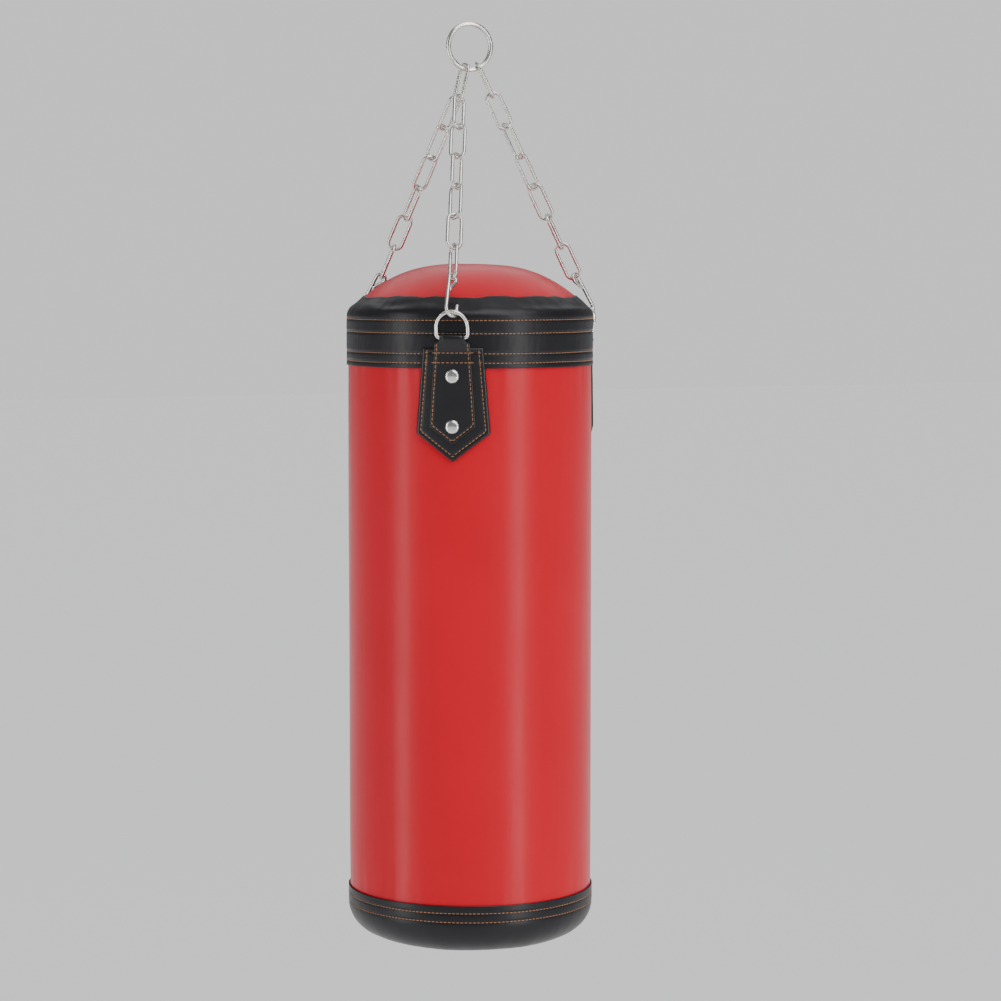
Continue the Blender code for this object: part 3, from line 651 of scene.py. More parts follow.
def stitch_tree():
    """Lays one stitch along a path at every pitch."""
    tree = bpy.data.node_groups.new("lay_stitches", "GeometryNodeTree")
    ports = tree.interface
    ports.new_socket("Geometry", in_out="INPUT", socket_type="NodeSocketGeometry")
    for name, default in (
        ("Stitch Pitch", STITCH_PITCH),
        ("Stitch Length", STITCH_LENGTH),
        ("Thread Thickness", THREAD),
    ):
        port = ports.new_socket(name, in_out="INPUT", socket_type="NodeSocketFloat")
        port.default_value = default
    ports.new_socket("Seed", in_out="INPUT", socket_type="NodeSocketInt")
    ports.new_socket("Thread", in_out="INPUT", socket_type="NodeSocketMaterial")
    ports.new_socket("Geometry", in_out="OUTPUT", socket_type="NodeSocketGeometry")
    nodes, links = tree.nodes, tree.links
    given = nodes.new("NodeGroupInput")
    result = nodes.new("NodeGroupOutput")

    path = nodes.new("GeometryNodeResampleCurve")
    path.mode = "LENGTH"
    links.new(given.outputs["Geometry"], path.inputs["Curve"])
    links.new(given.outputs["Stitch Pitch"], path.inputs["Length"])

    bead = nodes.new("GeometryNodeMeshUVSphere")
    bead.inputs["Segments"].default_value = 6
    bead.inputs["Rings"].default_value = 6
    bead.inputs["Radius"].default_value = 0.5

    size = nodes.new("ShaderNodeCombineXYZ")
    links.new(given.outputs["Thread Thickness"], size.inputs["X"])
    links.new(given.outputs["Thread Thickness"], size.inputs["Y"])
    links.new(given.outputs["Stitch Length"], size.inputs["Z"])

    along = nodes.new("GeometryNodeInputTangent")
    turn = nodes.new("FunctionNodeAlignRotationToVector")
    turn.axis = "Z"
    links.new(along.outputs["Tangent"], turn.inputs["Vector"])

    wander = nodes.new("FunctionNodeRandomValue")
    wander.data_type = "FLOAT_VECTOR"
    wander.inputs["Min"].default_value = (-0.07, -0.07, -0.07)
    wander.inputs["Max"].default_value = (0.07, 0.07, 0.07)
    links.new(given.outputs["Seed"], wander.inputs["Seed"])
    lean = nodes.new("FunctionNodeRotateRotation")
    lean.rotation_space = "LOCAL"
    links.new(turn.outputs["Rotation"], lean.inputs["Rotation"])
    links.new(wander.outputs["Value"], lean.inputs["Rotate By"])

    lay = nodes.new("GeometryNodeInstanceOnPoints")
    links.new(path.outputs["Curve"], lay.inputs["Points"])
    links.new(bead.outputs["Mesh"], lay.inputs["Instance"])
    links.new(lean.outputs["Rotation"], lay.inputs["Rotation"])
    links.new(size.outputs["Vector"], lay.inputs["Scale"])

    real = nodes.new("GeometryNodeRealizeInstances")
    links.new(lay.outputs["Instances"], real.inputs["Geometry"])
    finish = nodes.new("GeometryNodeSetMaterial")
    links.new(real.outputs["Geometry"], finish.inputs["Geometry"])
    links.new(given.outputs["Thread"], finish.inputs["Material"])
    links.new(finish.outputs["Geometry"], result.inputs["Geometry"])
    return tree


def thread_material():
    nodes = Nodes("copper_thread")
    strands = nodes.noise(1400.0, 3.0)
    shade = nodes.noise(60.0, 2.0)
    return nodes.set(
        Base_Color=nodes.mixed(nodes.spread(shade, 0.0, 1.0), (0.46, 0.185, 0.062), (0.33, 0.125, 0.045)),
        Roughness=nodes.spread(strands, 0.5, 0.75),
        Normal=nodes.bump(strands, 0.5, 0.0001),
        Sheen_Weight=0.25,
        Sheen_Roughness=0.5,
    )


def grown(name, guide, tree, values):
    """Runs a tree on a guide object and keeps only the plain mesh that it makes."""
    bpy.context.scene.collection.objects.link(guide)
    layer = guide.modifiers.new("tree", "NODES")
    layer.node_group = tree
    for item in tree.interface.items_tree:
        if item.in_out == "INPUT" and item.name in values:
            layer[item.identifier] = values[item.name]
    bpy.context.view_layer.update()
    laid = guide.evaluated_get(bpy.context.evaluated_depsgraph_get())
    mesh = bpy.data.meshes.new_from_object(laid)
    bpy.data.objects.remove(guide)
    mesh.name = name
    mesh.shade_smooth()
    piece = bpy.data.objects.new(name, mesh)
    bpy.context.scene.collection.objects.link(piece)
    return piece


def sew(name, paths, seed):
    """One piece of stitching along several paths, each (points, closed)."""
    line = bpy.data.curves.new(name + "_path", "CURVE")
    line.dimensions = "3D"
    for points, closed in paths:
        spline = line.splines.new("POLY")
        spline.points.add(len(points) - 1)
        for target, point in zip(spline.points, points):
            target.co = (*point, 1)
        spline.use_cyclic_u = closed
    guide = bpy.data.objects.new(name + "_path", line)
    rows = grown(name, guide, stitching, {"Seed": seed, "Thread": thread})
    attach(rows, "bag")


def hoop(height, swell, radius, wander, seed):
    """A stitch row around the bag that follows its skin."""
    points = []
    for k in range(720):
        angle = 2 * pi * k / 720
        row = height + wander * ripple(angle, 0.0, 2.0, 0.0, seed)
        out, up = swell(angle, radius, row)
        reach = radius + out + 0.28 * THREAD
        points.append((reach * cos(angle), reach * sin(angle), row + up))
    return points, True


def back_row(offset):
    """One of the two rows beside the shell's upright seam."""
    angle = BACK_SEAM + offset / SHELL_RADIUS
    points = []
    for height in wall_rows(BAND_BOTTOM, CAP_TOP, 300):
        reach = SHELL_RADIUS + shell_swell(angle, SHELL_RADIUS, height)[0] + 0.28 * THREAD
        points.append((reach * cos(angle), reach * sin(angle), height))
    return points, False


stitching = stitch_tree()
thread = thread_material()
sew("back_seam_stitching", [back_row(-BACK_SEAM_HALF), back_row(BACK_SEAM_HALF)], 3)
sew(
    "band_stitching",
    [
        hoop(height, band_swell, BAG_RADIUS, 0.0005, 5.0 + 3.0 * i)
        for i, height in enumerate(band_heights())
    ],
    1,
)
sew(
    "cap_stitching",
    [
        hoop(height, cap_swell, BAG_RADIUS, 0.0005, 31.0 + 3.0 * i)
        for i, height in enumerate(cap_heights())
    ],
    2,
)


def inset(outline, margin):
    """A convex outline moved inwards by a margin. Its last side is left open at the top."""
    lines = []
    count = len(outline)
    for i in range(count - 1):
        ax, az = outline[i]
        bx, bz = outline[i + 1]
        length = hypot(bx - ax, bz - az)
        nx, nz = -(bz - az) / length, (bx - ax) / length
        lines.append((ax + nx * margin, az + nz * margin, bx - ax, bz - az))
    points = [(lines[0][0], lines[0][1])]
    for (px, pz, dx, dz), (qx, qz, ex, ez) in zip(lines[:-1], lines[1:]):
        cross = dx * ez - dz * ex
        t = ((qx - px) * ez - (qz - pz) * ex) / cross
        points.append((px + dx * t, pz + dz * t))
    px, pz, dx, dz = lines[-1]
    points.append((px + dx, pz + dz))
    return points


def walk(points, step=0.002):
    """Points along a broken line, at most a step apart."""
    walked = []
    for (ax, az), (bx, bz) in zip(points[:-1], points[1:]):
        count = max(1, int(hypot(bx - ax, bz - az) / step))
        walked += [(ax + (bx - ax) * i / count, az + (bz - az) * i / count) for i in range(count)]
    return walked + [points[-1]]


def on_patch(side, points):
    return [
        on_bag(side, x, patch_face(side, x, z) + 0.28 * THREAD, PATCH_TOP + z) for x, z in walk(points)
    ]


def strap_face(drop):
    rise = smooth_step((drop + FOLD_BLEND) / FOLD_BLEND)
    return STRAP_FACE + (BAR_RADIUS + STRAP_EYE - STRAP_FACE) * rise


def on_strap(side, points):
    return [
        on_bag(side, x, strap_face(z) + strap_soft(side, x, z) + 0.28 * THREAD, BAR_HEIGHT + z)
        for x, z in walk(points)
    ]


HEAD_ROWS = (0.0058, 0.0172)  # rows across the head of a patch, below its upper edge


def head_row(side, drop):
    """A row across patch and strap together."""
    reach = half_width(-drop, PATCH_OUTLINE) - EDGE_ROW
    strap_reach = half_width(-drop - NECK, STRAP_OUTLINE)
    left = on_patch(side, [(-reach, -drop), (-strap_reach - 0.0006, -drop)])
    middle = on_strap(side, [(-strap_reach + 0.0012, -drop - NECK), (strap_reach - 0.0012, -drop - NECK)])
    right = on_patch(side, [(strap_reach + 0.0006, -drop), (reach, -drop)])
    return [(left, False), (middle, False), (right, False)]


def tab_paths(side):
    border = inset(PATCH_OUTLINE, EDGE_ROW)
    border[0] = (border[0][0], -0.0045)
    border[-1] = (border[-1][0], -0.0045)
    strap_border = inset(STRAP_OUTLINE, STRAP_EDGE_ROW)[2:-2]
    paths = [(on_patch(side, border), False), (on_strap(side, strap_border), False)]
    for drop in HEAD_ROWS:
        paths += head_row(side, drop)
    return paths


for i, side in enumerate(SIDES):
    sew(f"tab_stitching_{side}", tab_paths(side), 10 + i)

# ---- Rivets -------------------------------------------------------------------------------------
# Nickel-plated tubular rivets with a low domed head and a turned rim, two through each strap. Their
# tails are spread over washers inside the shell, out of sight.

RIVET_HEAD = 0.0160


def steel(name, light, dark, gloss, brushed):
    """Plated steel wire: cloudy plating, drawing marks and a fingerprint-soft gloss."""
    nodes = Nodes(name)
    cloud = nodes.noise(90.0, 4.0)
    marks = nodes.noise(900.0, 3.0, nodes.stretched((1.0, 1.0, 0.2)))
    return nodes.set(
        Base_Color=nodes.mixed(nodes.spread(cloud, 0.0, 1.0), light, dark),
        Metallic=1.0,
        Roughness=nodes.spread(marks, gloss - 0.05, gloss + 0.10),
        Normal=nodes.bump(marks, brushed, 0.00008),
    )


nickel = steel("polished_nickel", (0.86, 0.85, 0.83), (0.72, 0.70, 0.67), 0.20, 0.10)


def rivet_profile():
    """Half of the head and shank, (radius, out of the strap), from the crown to the tail."""
    rim = RIVET_HEAD / 2
    points = [(rim * 0.97 * sin(pi / 2 * i / 14), 0.0009 + 0.0027 * cos(pi / 2 * i / 14)) for i in range(15)]
    points += [(rim, 0.0007), (rim, 0.0003), (rim - 0.0004, 0.0)]
    points += [(0.0020, 0.0), (0.0020, -0.0074), (0.0035, -0.0076), (0.0033, -0.0086), (0.0, -0.0086)]
    return points


def turned_rivet():
    """One rivet along +Z, as wide as 1 so that the tree can size it."""
    outline = [(radius / RIVET_HEAD, out / RIVET_HEAD) for radius, out in rivet_profile()]
    return spun_skin("rivet_pattern", outline, lambda angle, radius, height: (0.0, 0.0), 40)


def placed_copies(tree, given, shape, scale=None):
    """The end of a tree: one copy of a shape at every point, turned by the point's own attribute."""
    nodes, links = tree.nodes, tree.links
    turn = nodes.new("GeometryNodeInputNamedAttribute")
    turn.data_type = "QUATERNION"
    turn.inputs["Name"].default_value = "turn"
    lay = nodes.new("GeometryNodeInstanceOnPoints")
    links.new(given.outputs["Geometry"], lay.inputs["Points"])
    links.new(shape, lay.inputs["Instance"])
    links.new(turn.outputs["Attribute"], lay.inputs["Rotation"])
    if scale is not None:
        links.new(scale, lay.inputs["Scale"])
    real = nodes.new("GeometryNodeRealizeInstances")
    links.new(lay.outputs["Instances"], real.inputs["Geometry"])
    finish = nodes.new("GeometryNodeSetMaterial")
    links.new(real.outputs["Geometry"], finish.inputs["Geometry"])
    links.new(given.outputs["Plating"], finish.inputs["Material"])
    result = nodes.new("NodeGroupOutput")
    links.new(finish.outputs["Geometry"], result.inputs["Geometry"])


def rivet_tree():
    """Sets one rivet at every marked place."""
    tree = bpy.data.node_groups.new("set_rivets", "GeometryNodeTree")
    ports = tree.interface
    ports.new_socket("Geometry", in_out="INPUT", socket_type="NodeSocketGeometry")
    ports.new_socket("Rivet", in_out="INPUT", socket_type="NodeSocketObject")
    width = ports.new_socket("Head Width", in_out="INPUT", socket_type="NodeSocketFloat")
    width.default_value = RIVET_HEAD
    ports.new_socket("Plating", in_out="INPUT", socket_type="NodeSocketMaterial")
    ports.new_socket("Geometry", in_out="OUTPUT", socket_type="NodeSocketGeometry")
    nodes, links = tree.nodes, tree.links
    given = nodes.new("NodeGroupInput")
    rivet = nodes.new("GeometryNodeObjectInfo")
    links.new(given.outputs["Rivet"], rivet.inputs["Object"])
    placed_copies(tree, given, rivet.outputs["Geometry"], given.outputs["Head Width"])
    return tree


def marked_places(name, places):
    """A guide with one point, and its turn, for each placing matrix."""
    mesh = bpy.data.meshes.new(name)
    mesh.from_pydata([place.translation for place in places], [], [])
    turns = mesh.attributes.new("turn", "QUATERNION", "POINT")
    for target, place in zip(turns.data, places):
        target.value = place.to_quaternion()
    return bpy.data.objects.new(name, mesh)


def rivet_place(side, level):
    low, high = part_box(f"rivet_{side}_{level}")
    turn = radians(SIDES[side])
    seat = Vector((STRAP_FACE * cos(turn), STRAP_FACE * sin(turn), (low.z + high.z) / 2))
    return Matrix.Translation(seat) @ Matrix.Rotation(turn, 4, "Z") @ Matrix.Rotation(pi / 2, 4, "Y")


rivet_spots = [(side, level) for side in SIDES for level in ("upper", "lower")]
rivet_guide = marked_places("rivet_places", [rivet_place(*spot) for spot in rivet_spots])
rivet_pattern = turned_rivet()
rivets = grown("rivet_heads", rivet_guide, rivet_tree(), {"Rivet": rivet_pattern, "Plating": nickel})
bpy.data.objects.remove(rivet_pattern)
rivets.data.set_sharp_from_angle(angle=radians(50))
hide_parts(*(f"rivet_{side}_{level}" for side, level in rivet_spots))
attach(rivets, "bag")

# ---- Top ring -----------------------------------------------------------------------------------
# One ring of 6 mm zinc-plated wire, butt-welded, that goes over the ceiling hook.

zinc = steel("bright_zinc", (0.80, 0.79, 0.76), (0.58, 0.56, 0.53), 0.24, 0.25)
WIRE_SIDES = 18


def wire_mesh(name, points, radius, closed, weld=None):
    """A round wire along points of the XZ plane, with rounded ends where it is open.

    weld is (place along the wire from 0 to 1, width, swelling) of a weld bead.
    """
    wire = bmesh.new()
    spots = [Vector((x, 0, z)) for x, z in points]
    count = len(spots)
    rings = []

    def ring(centre, across, size):
        sweep = []
        for k in range(WIRE_SIDES):
            turn = 2 * pi * k / WIRE_SIDES
            sweep.append(wire.verts.new(centre + size * (cos(turn) * across + sin(turn) * Vector((0, 1, 0)))))
        rings.append(sweep)

    for i, spot in enumerate(spots):
        ahead = spots[(i + 1) % count] if closed or i < count - 1 else spot
        behind = spots[i - 1] if closed or i > 0 else spot
        along = (ahead - behind).normalized()
        across = Vector((along.z, 0, -along.x))
        size = radius
        if weld:
            gap = abs(i / count - weld[0])
            size += weld[2] * bell(min(gap, 1 - gap), weld[1])
        if not closed and i == 0:
            for turn in (pi / 2.2, pi / 3, pi / 6):
                ring(spot - along * radius * sin(turn), across, radius * cos(turn))
        ring(spot, across, size)
        if not closed and i == count - 1:
            for turn in (pi / 6, pi / 3, pi / 2.2):
                ring(spot + along * radius * sin(turn), across, radius * cos(turn))
    pairs = list(zip(rings[:-1], rings[1:]))
    if closed:
        pairs.append((rings[-1], rings[0]))
    for first, second in pairs:
        for k in range(WIRE_SIDES):
            nxt = (k + 1) % WIRE_SIDES
            wire.faces.new((first[k], first[nxt], second[nxt], second[k]))
    if not closed:
        wire.faces.new(list(reversed(rings[0])))
        wire.faces.new(rings[-1])
    bmesh.ops.recalc_face_normals(wire, faces=wire.faces)
    mesh = bpy.data.meshes.new(name)
    wire.to_mesh(mesh)
    wire.free()
    mesh.shade_smooth()
    return mesh


WIRE_SLACK = 0.0012  # between a smooth wire's box and its coarser CAD node's


def near(piece, nodes):
    """Stops the script if a wire piece isn't where its nodes are."""
    boxes = [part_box(node) for node in nodes]
    low = np.array([low for low, high in boxes]).min(0)
    high = np.array([high for low, high in boxes]).max(0)
    corners = np.array([v.co for v in piece.data.vertices])
    miss = max(abs(corners.min(0) - low).max(), abs(corners.max(0) - high).max())
    if miss > WIRE_SLACK:
        raise RuntimeError(f"{piece.name} is {miss * 1000:.2f} mm from its nodes")


def hang(name, node, mesh, placed, material, body):
    """Puts a wire piece at its node's place."""
    piece = bpy.data.objects.new(name, mesh.copy())
    piece.data.name = name
    piece.data.transform(placed)
    bpy.context.scene.collection.objects.link(piece)
    piece.data.materials.append(material)
    near(piece, [node])
    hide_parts(node)
    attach(piece, body)


def arc(x, z, radius, start, end, steps):
    """Points of an arc in the XZ plane, with angles in degrees from +X towards +Z."""
    turns = [radians(start + (end - start) * i / steps) for i in range(steps + 1)]
    return [(x + radius * cos(t), z + radius * sin(t)) for t in turns]


ring_low, ring_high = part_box("hanger_ring")
RING_WIRE = 0.0060
ring_radius = (ring_high.x - RING_WIRE / 2 + (ring_high.z - ring_low.z - RING_WIRE) / 2) / 2
ring_points = arc(0, 0, ring_radius, 0, 360, 96)[:-1]
ring_mesh = wire_mesh("hanger_ring_wire", ring_points, RING_WIRE / 2, True, (0.62, 0.012, 0.0004))
ring_place = Matrix.Translation((0, 0, (ring_low.z + ring_high.z) / 2))
hang("hanger_ring_wire", "hanger_ring", ring_mesh, ring_place, zinc, "hanger")

# ---- Chain links --------------------------------------------------------------------------------
# Long links bent from 4 mm wire and electrically welded in one side, then zinc plated. The two
# nearer chains share their first link on the ring.

LINK_WIRE = 0.0040
LINK_EYE_WIDTH = 0.0130
LINK_EYE_LENGTH = 0.0424
LINK_WELD = 0.18  # how far the weld stands out, as a share of the wire's radius
WELD_PLACE = 0.37  # round the link from its upper corner, in the middle of one side
WELD_LENGTH = 0.016  # as a share of the way round


def own_axes(node):
    """(centre, long, middle, thin) axes of a CAD node from the spread of its corners."""
    corners = np.array([v.co for v in parts[node].data.vertices])
    corners = np.unique(corners.round(6), axis=0)
    centre = (corners.min(0) + corners.max(0)) / 2
    vectors = np.linalg.eigh(np.cov((corners - corners.mean(0)).T))[1]
    return Vector(centre), Vector(vectors[:, 2]), Vector(vectors[:, 1]), Vector(vectors[:, 0])


def placed_by(origin, across, thin, up):
    """Local X across the flat side, Y through it and Z up, at an origin."""
    axes = Matrix((across, thin, up)).transposed().to_4x4()
    return Matrix.Translation(origin) @ axes


def link_tree():
    """Bends a loop of wire, swells it at its weld, and sets one link at every marked place."""
    tree = bpy.data.node_groups.new("weld_links", "GeometryNodeTree")
    ports = tree.interface
    ports.new_socket("Geometry", in_out="INPUT", socket_type="NodeSocketGeometry")
    for name, default in (
        ("Wire Thickness", LINK_WIRE),
        ("Eye Width", LINK_EYE_WIDTH),
        ("Eye Length", LINK_EYE_LENGTH),
        ("Weld Swelling", LINK_WELD),
    ):
        port = ports.new_socket(name, in_out="INPUT", socket_type="NodeSocketFloat")
        port.default_value = default
    ports.new_socket("Plating", in_out="INPUT", socket_type="NodeSocketMaterial")
    ports.new_socket("Geometry", in_out="OUTPUT", socket_type="NodeSocketGeometry")
    nodes, links = tree.nodes, tree.links
    given = nodes.new("NodeGroupInput")
    wire = given.outputs["Wire Thickness"]

    def maths(operation, first, second=1.0):
        return maths_node(tree, operation, first, second)

    width = maths("ADD", given.outputs["Eye Width"], wire)
    loop = nodes.new("GeometryNodeCurvePrimitiveQuadrilateral")
    links.new(width, loop.inputs["Width"])
    links.new(maths("ADD", given.outputs["Eye Length"], wire), loop.inputs["Height"])
    bend = nodes.new("GeometryNodeFilletCurve")
    bend.mode = "POLY"
    bend.inputs["Count"].default_value = 12
    links.new(loop.outputs["Curve"], bend.inputs["Curve"])
    links.new(maths("DIVIDE", width, 2.0), bend.inputs["Radius"])
    bend.inputs["Limit Radius"].default_value = True
    even = nodes.new("GeometryNodeResampleCurve")
    even.mode = "COUNT"
    even.inputs["Count"].default_value = 72
    links.new(bend.outputs["Curve"], even.inputs["Curve"])

    along = nodes.new("GeometryNodeSplineParameter")
    apart = maths("DIVIDE", maths("SUBTRACT", along.outputs["Factor"], WELD_PLACE), WELD_LENGTH)
    bead = maths("EXPONENT", maths("MULTIPLY", maths("MULTIPLY", apart, apart), -1.0))
    size = maths("ADD", maths("MULTIPLY", bead, given.outputs["Weld Swelling"]), 1.0)

    section = nodes.new("GeometryNodeCurvePrimitiveCircle")
    section.inputs["Resolution"].default_value = WIRE_SIDES
    links.new(maths("DIVIDE", wire, 2.0), section.inputs["Radius"])
    drawn = nodes.new("GeometryNodeCurveToMesh")
    links.new(even.outputs["Curve"], drawn.inputs["Curve"])
    links.new(size, drawn.inputs["Scale"])
    links.new(section.outputs["Curve"], drawn.inputs["Profile Curve"])
    placed_copies(tree, given, drawn.outputs["Mesh"])
    return tree


def link_place(node):
    """The tree's link lies flat, with its length along Y."""
    centre, up, across = own_axes(node)[:3]
    if up.z < 0:
        up = -up
    return Matrix.Translation(centre) @ Matrix((across, up, across.cross(up))).transposed().to_4x4()


welding = link_tree()
bodies = frame["record"]["behaviour"]["bodies"]
for body, name in (("first_links", "first_chain_links"), ("bag", "chain_links")):
    links_here = sorted(node for node in bodies[body] if node.startswith("link_"))
    guide = marked_places(name + "_places", [link_place(node) for node in links_here])
    chain = grown(name, guide, welding, {"Plating": zinc})
    near(chain, links_here)
    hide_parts(*links_here)
    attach(chain, body)

# ---- Hooks --------------------------------------------------------------------------------------
# Open hooks bent cold from 4.5 mm wire: a closed eye through the last link, a straight back, and a
# wide mouth through the D-ring.

HOOK_WIRE = 0.0045
HOOK_SPAN = 0.0495
HOOK_EYE_ROOM = 0.0026  # round the last link's wire
HOOK_MOUTH_ROOM = 0.0090  # round the D-ring's wire
HOOK_EYE_RADIUS = (LINK_WIRE + HOOK_EYE_ROOM + HOOK_WIRE) / 2
HOOK_MOUTH_RADIUS = (D_WIRE + HOOK_MOUTH_ROOM + HOOK_WIRE) / 2


def hook_wire():
    """The origin is at the eye's inner top, with both bearing points on the Z axis."""
    eye_z = HOOK_WIRE / 2 - HOOK_EYE_RADIUS
    mouth_z = HOOK_MOUTH_RADIUS - HOOK_SPAN - HOOK_WIRE / 2
    lean = 180 + degrees(atan2(HOOK_MOUTH_RADIUS - HOOK_EYE_RADIUS, eye_z - mouth_z))
    back_gap = HOOK_WIRE + 0.0006
    points = [(back_gap - HOOK_MOUTH_RADIUS, (eye_z + mouth_z) / 2 + HOOK_EYE_RADIUS)]
    eye = arc(0, eye_z, HOOK_EYE_RADIUS, -20, lean, 40)
    returned = [
        (points[0][0] + (eye[0][0] - points[0][0]) * i / 6, points[0][1] + (eye[0][1] - points[0][1]) * i / 6)
        for i in range(6)
    ]
    mouth = arc(0, mouth_z, HOOK_MOUTH_RADIUS, lean, 380, 40)
    back = [
        (eye[-1][0] + (mouth[0][0] - eye[-1][0]) * i / 8, eye[-1][1] + (mouth[0][1] - eye[-1][1]) * i / 8)
        for i in range(1, 8)
    ]
    tip = mouth[-1]
    end = (tip[0] + HOOK_MOUTH_RADIUS * 0.1, tip[1] + HOOK_MOUTH_RADIUS * 0.5)
    lip = [(tip[0] + (end[0] - tip[0]) * i / 3, tip[1] + (end[1] - tip[1]) * i / 3) for i in range(1, 4)]
    return wire_mesh("hook_wire", returned + eye + back + mouth + lip, HOOK_WIRE / 2, False)


hook_mesh = hook_wire()
hook_corners = np.array([v.co for v in hook_mesh.vertices])


def hook_place(side):
    """The hook hangs along its chain. Of its two ways round, the one nearer to its node."""
    node = f"hook_{side}"
    last_link, previous = own_axes(f"link_{side}_7")[0], own_axes(f"link_{side}_4")[0]
    up = (previous - last_link).normalized()
    thin = own_axes(node)[3]
    thin = (thin - up * thin.dot(up)).normalized()
    corners = np.array([v.co for v in parts[node].data.vertices])
    top = (corners @ np.array(up)).max() - HOOK_WIRE
    origin = last_link + up * (top - last_link.dot(up))
    best = None
    for sign in (1, -1):
        normal = thin * sign
        place = placed_by(origin, normal.cross(up), normal, up)
        spots = hook_corners[::9] @ np.array(place.to_3x3()).T + np.array(place.translation)
        apart = ((spots[:, None] - corners[None]) ** 2).sum(2).min(1).mean()
        if best is None or apart < best[0]:
            best = (apart, place)
    return best[1]


for side in SIDES:
    hang(f"hook_wire_{side}", f"hook_{side}", hook_mesh, hook_place(side), zinc, "bag")

# ---- D-rings ------------------------------------------------------------------------------------
# D-rings of 4.5 mm nickel-plated wire, their straight bar inside the strap's fold.

D_EYE_WIDTH = 0.0325
D_EYE_HEIGHT = 0.0268
D_HALF = (D_EYE_WIDTH + D_WIRE) / 2
D_REACH = D_EYE_HEIGHT + D_WIRE
D_CORNER = 0.0050


def d_ring_wire():
    shoulder = D_REACH - D_HALF
    bar = [(x, 0.0) for x in wall_rows(D_CORNER - D_HALF, D_HALF - D_CORNER, 12)]
    points = bar + arc(D_HALF - D_CORNER, D_CORNER, D_CORNER, -90, 0, 8)[1:]
    points += [(D_HALF, D_CORNER + (shoulder - D_CORNER) * i / 3) for i in range(1, 3)]
    points += arc(0, shoulder, D_HALF, 0, 180, 40)
    points += [(-D_HALF, shoulder + (D_CORNER - shoulder) * i / 3) for i in range(1, 3)]
    points += arc(D_CORNER - D_HALF, D_CORNER, D_CORNER, 180, 270, 8)[:-1]
    return wire_mesh("d_ring_wire", points, D_WIRE / 2, True, (0.10, 0.012, 0.0003))


d_mesh = d_ring_wire()
for side in SIDES:
    node = f"d_ring_{side}"
    thin = own_axes(node)[3]
    tangent = Vector((-sin(radians(SIDES[side])), cos(radians(SIDES[side])), 0))
    thin = (thin - tangent * thin.dot(tangent)).normalized()
    up = thin.cross(tangent)
    if up.z < 0:
        up = -up
    origin = on_bag(side, 0.0, BAR_RADIUS, BAR_HEIGHT)
    place = placed_by(origin, tangent, up.cross(tangent), up)
    hang(node + "_wire", node, d_mesh, place, nickel, "bag")

# ---- Inside the bag -----------------------------------------------------------------------------
# Canvas lining, foam sleeve and packed textile filling, with the rivets' washers between shell and
# lining. They keep their CAD shapes, because skins and cover close over them.


def woven(name, light, dark, pitch):
    nodes = Nodes(name)
    across = nodes.wave(1.0 / pitch / 2, "Z")
    down = nodes.wave(1.0 / pitch / 2, "X")
    weave = nodes.maths("MULTIPLY", across, down)
    return nodes.set(
        Base_Color=nodes.mixed(weave, dark, light),
        Roughness=nodes.spread(nodes.noise(300.0), 0.85, 0.97),
        Normal=nodes.bump(weave, 0.6, 0.0003),
        Sheen_Weight=0.15,
    )


def foamed(name, light, dark):
    nodes = Nodes(name)
    pores = nodes.cells(700.0)
    return nodes.set(
        Base_Color=nodes.mixed(nodes.spread(pores, 0.0, 1.0, 0.1, 0.8), dark, light),
        Roughness=nodes.spread(pores, 0.9, 1.0, 0.0, 1.0),
        Normal=nodes.bump(pores, 0.7, 0.0005),
    )


inside_looks = {
    "lining": woven("lining_canvas", (0.55, 0.50, 0.40), (0.36, 0.32, 0.25), 0.0012),
    "foam_sleeve": foamed("foam_sheet", (0.80, 0.80, 0.77), (0.60, 0.60, 0.57)),
    "filling": woven("packed_cloth", (0.38, 0.39, 0.43), (0.20, 0.21, 0.24), 0.0030),
}
for node in sorted(n for n in parts if n.startswith("washer_")):
    inside_looks[node] = zinc
for node, look in inside_looks.items():
    parts[node].data.materials.clear()
    parts[node].data.materials.append(look)

# ---- Camera, floor and light --------------------------------------------------------------------
# The camera looks a little down at the bag from the height of the chains. Two tall soft lights
# stand beside it, under one broad key light, and a weaker one lights the back.

VIEW_TURN = -22.3  # degrees around the bag from -Y
VIEW_DISTANCE = 3.674
VIEW_HEIGHT = -0.282
VIEW_DOWN = 4.543
VIEW_SIDEWAYS = -0.581
camera = bpy.data.cameras.new("camera")
camera.lens = 108.53
camera.sensor_width = 36.0
camera.clip_end = 100.0
viewer = bpy.data.objects.new("camera", camera)
stand = radians(VIEW_TURN - 90)
viewer.location = (VIEW_DISTANCE * cos(stand), VIEW_DISTANCE * sin(stand), VIEW_HEIGHT)
viewer.rotation_euler = (radians(90 - VIEW_DOWN), 0, radians(VIEW_TURN + VIEW_SIDEWAYS))
bpy.context.scene.collection.objects.link(viewer)
bpy.context.scene.camera = viewer

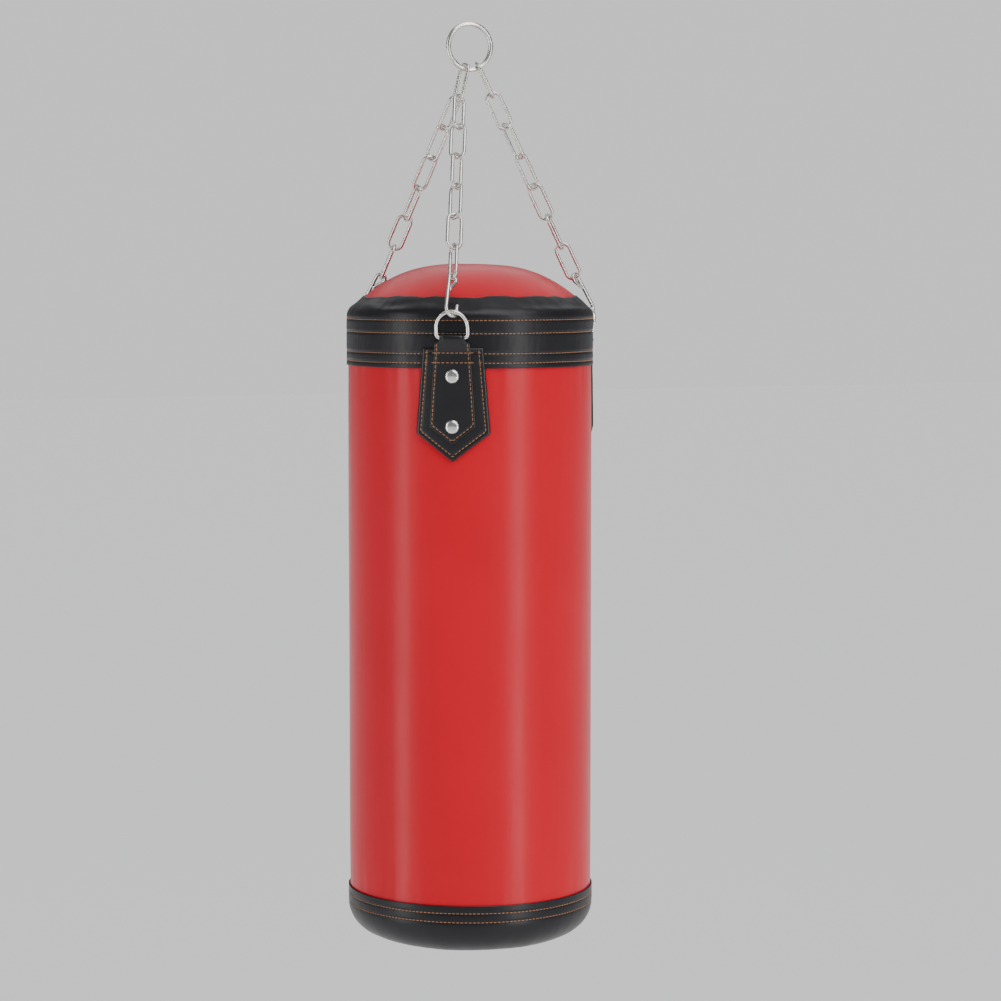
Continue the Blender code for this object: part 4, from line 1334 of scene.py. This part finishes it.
floor_mesh = bpy.data.meshes.new("floor")
floor_shape = bmesh.new()
bmesh.ops.create_grid(floor_shape, x_segments=1, y_segments=1, size=40.0)
bmesh.ops.translate(floor_shape, vec=(0, 0, BASE - 1.2), verts=floor_shape.verts)
floor_shape.to_mesh(floor_mesh)
floor_shape.free()
floor = bpy.data.objects.new("floor", floor_mesh)
bpy.context.scene.collection.objects.link(floor)
pale = bpy.data.materials.new("pale_floor")
pale.use_nodes = True
pale.node_tree.nodes["Principled BSDF"].inputs["Base Color"].default_value = (0.93, 0.93, 0.93, 1)
pale.node_tree.nodes["Principled BSDF"].inputs["Roughness"].default_value = 0.9
floor_mesh.materials.append(pale)

world = bpy.data.worlds.new("studio")
world.use_nodes = True
sky = world.node_tree.nodes["Background"]
sky.inputs["Color"].default_value = (0.96, 0.98, 1.0, 1)
sky.inputs["Strength"].default_value = 0.24
wall = world.node_tree.nodes.new("ShaderNodeBackground")
wall.inputs["Color"].default_value = (1.0, 1.0, 1.0, 1)
wall.inputs["Strength"].default_value = 0.84
seen = world.node_tree.nodes.new("ShaderNodeLightPath")
choice = world.node_tree.nodes.new("ShaderNodeMixShader")
world.node_tree.links.new(seen.outputs["Is Camera Ray"], choice.inputs["Fac"])
world.node_tree.links.new(sky.outputs["Background"], choice.inputs[1])
world.node_tree.links.new(wall.outputs["Background"], choice.inputs[2])
surface = world.node_tree.nodes["World Output"].inputs["Surface"]
world.node_tree.links.new(choice.outputs["Shader"], surface)
bpy.context.scene.world = world


def strip(name, turn, distance, width, height, middle, power):
    """A tall soft light at an angle around the bag from the viewer."""
    lamp = bpy.data.lights.new(name, "AREA")
    lamp.shape = "RECTANGLE"
    lamp.size = width
    lamp.size_y = height
    lamp.energy = power
    holder = bpy.data.objects.new(name, lamp)
    angle = stand + radians(turn)
    holder.location = (distance * cos(angle), distance * sin(angle), middle)
    aim = Vector((0, 0, -0.6)) - holder.location
    holder.rotation_euler = aim.to_track_quat("-Z", "Y").to_euler()
    bpy.context.scene.collection.objects.link(holder)


strip("left_strip", -64.0, 2.4, 0.18, 3.0, -0.4, 24.0)
strip("right_strip", 45.0, 2.4, 0.18, 3.0, -0.4, 27.0)


def sun(name, power, softness, tilt, turn):
    """A broad soft light from one direction, in degrees."""
    lamp = bpy.data.lights.new(name, "SUN")
    lamp.energy = power
    lamp.angle = radians(softness)
    holder = bpy.data.objects.new(name, lamp)
    holder.rotation_euler = (radians(tilt), 0, radians(VIEW_TURN + turn))
    bpy.context.scene.collection.objects.link(holder)


sun("key", 2.0, 50, 35, 36)
sun("back_fill", 0.8, 60, 40, 180)
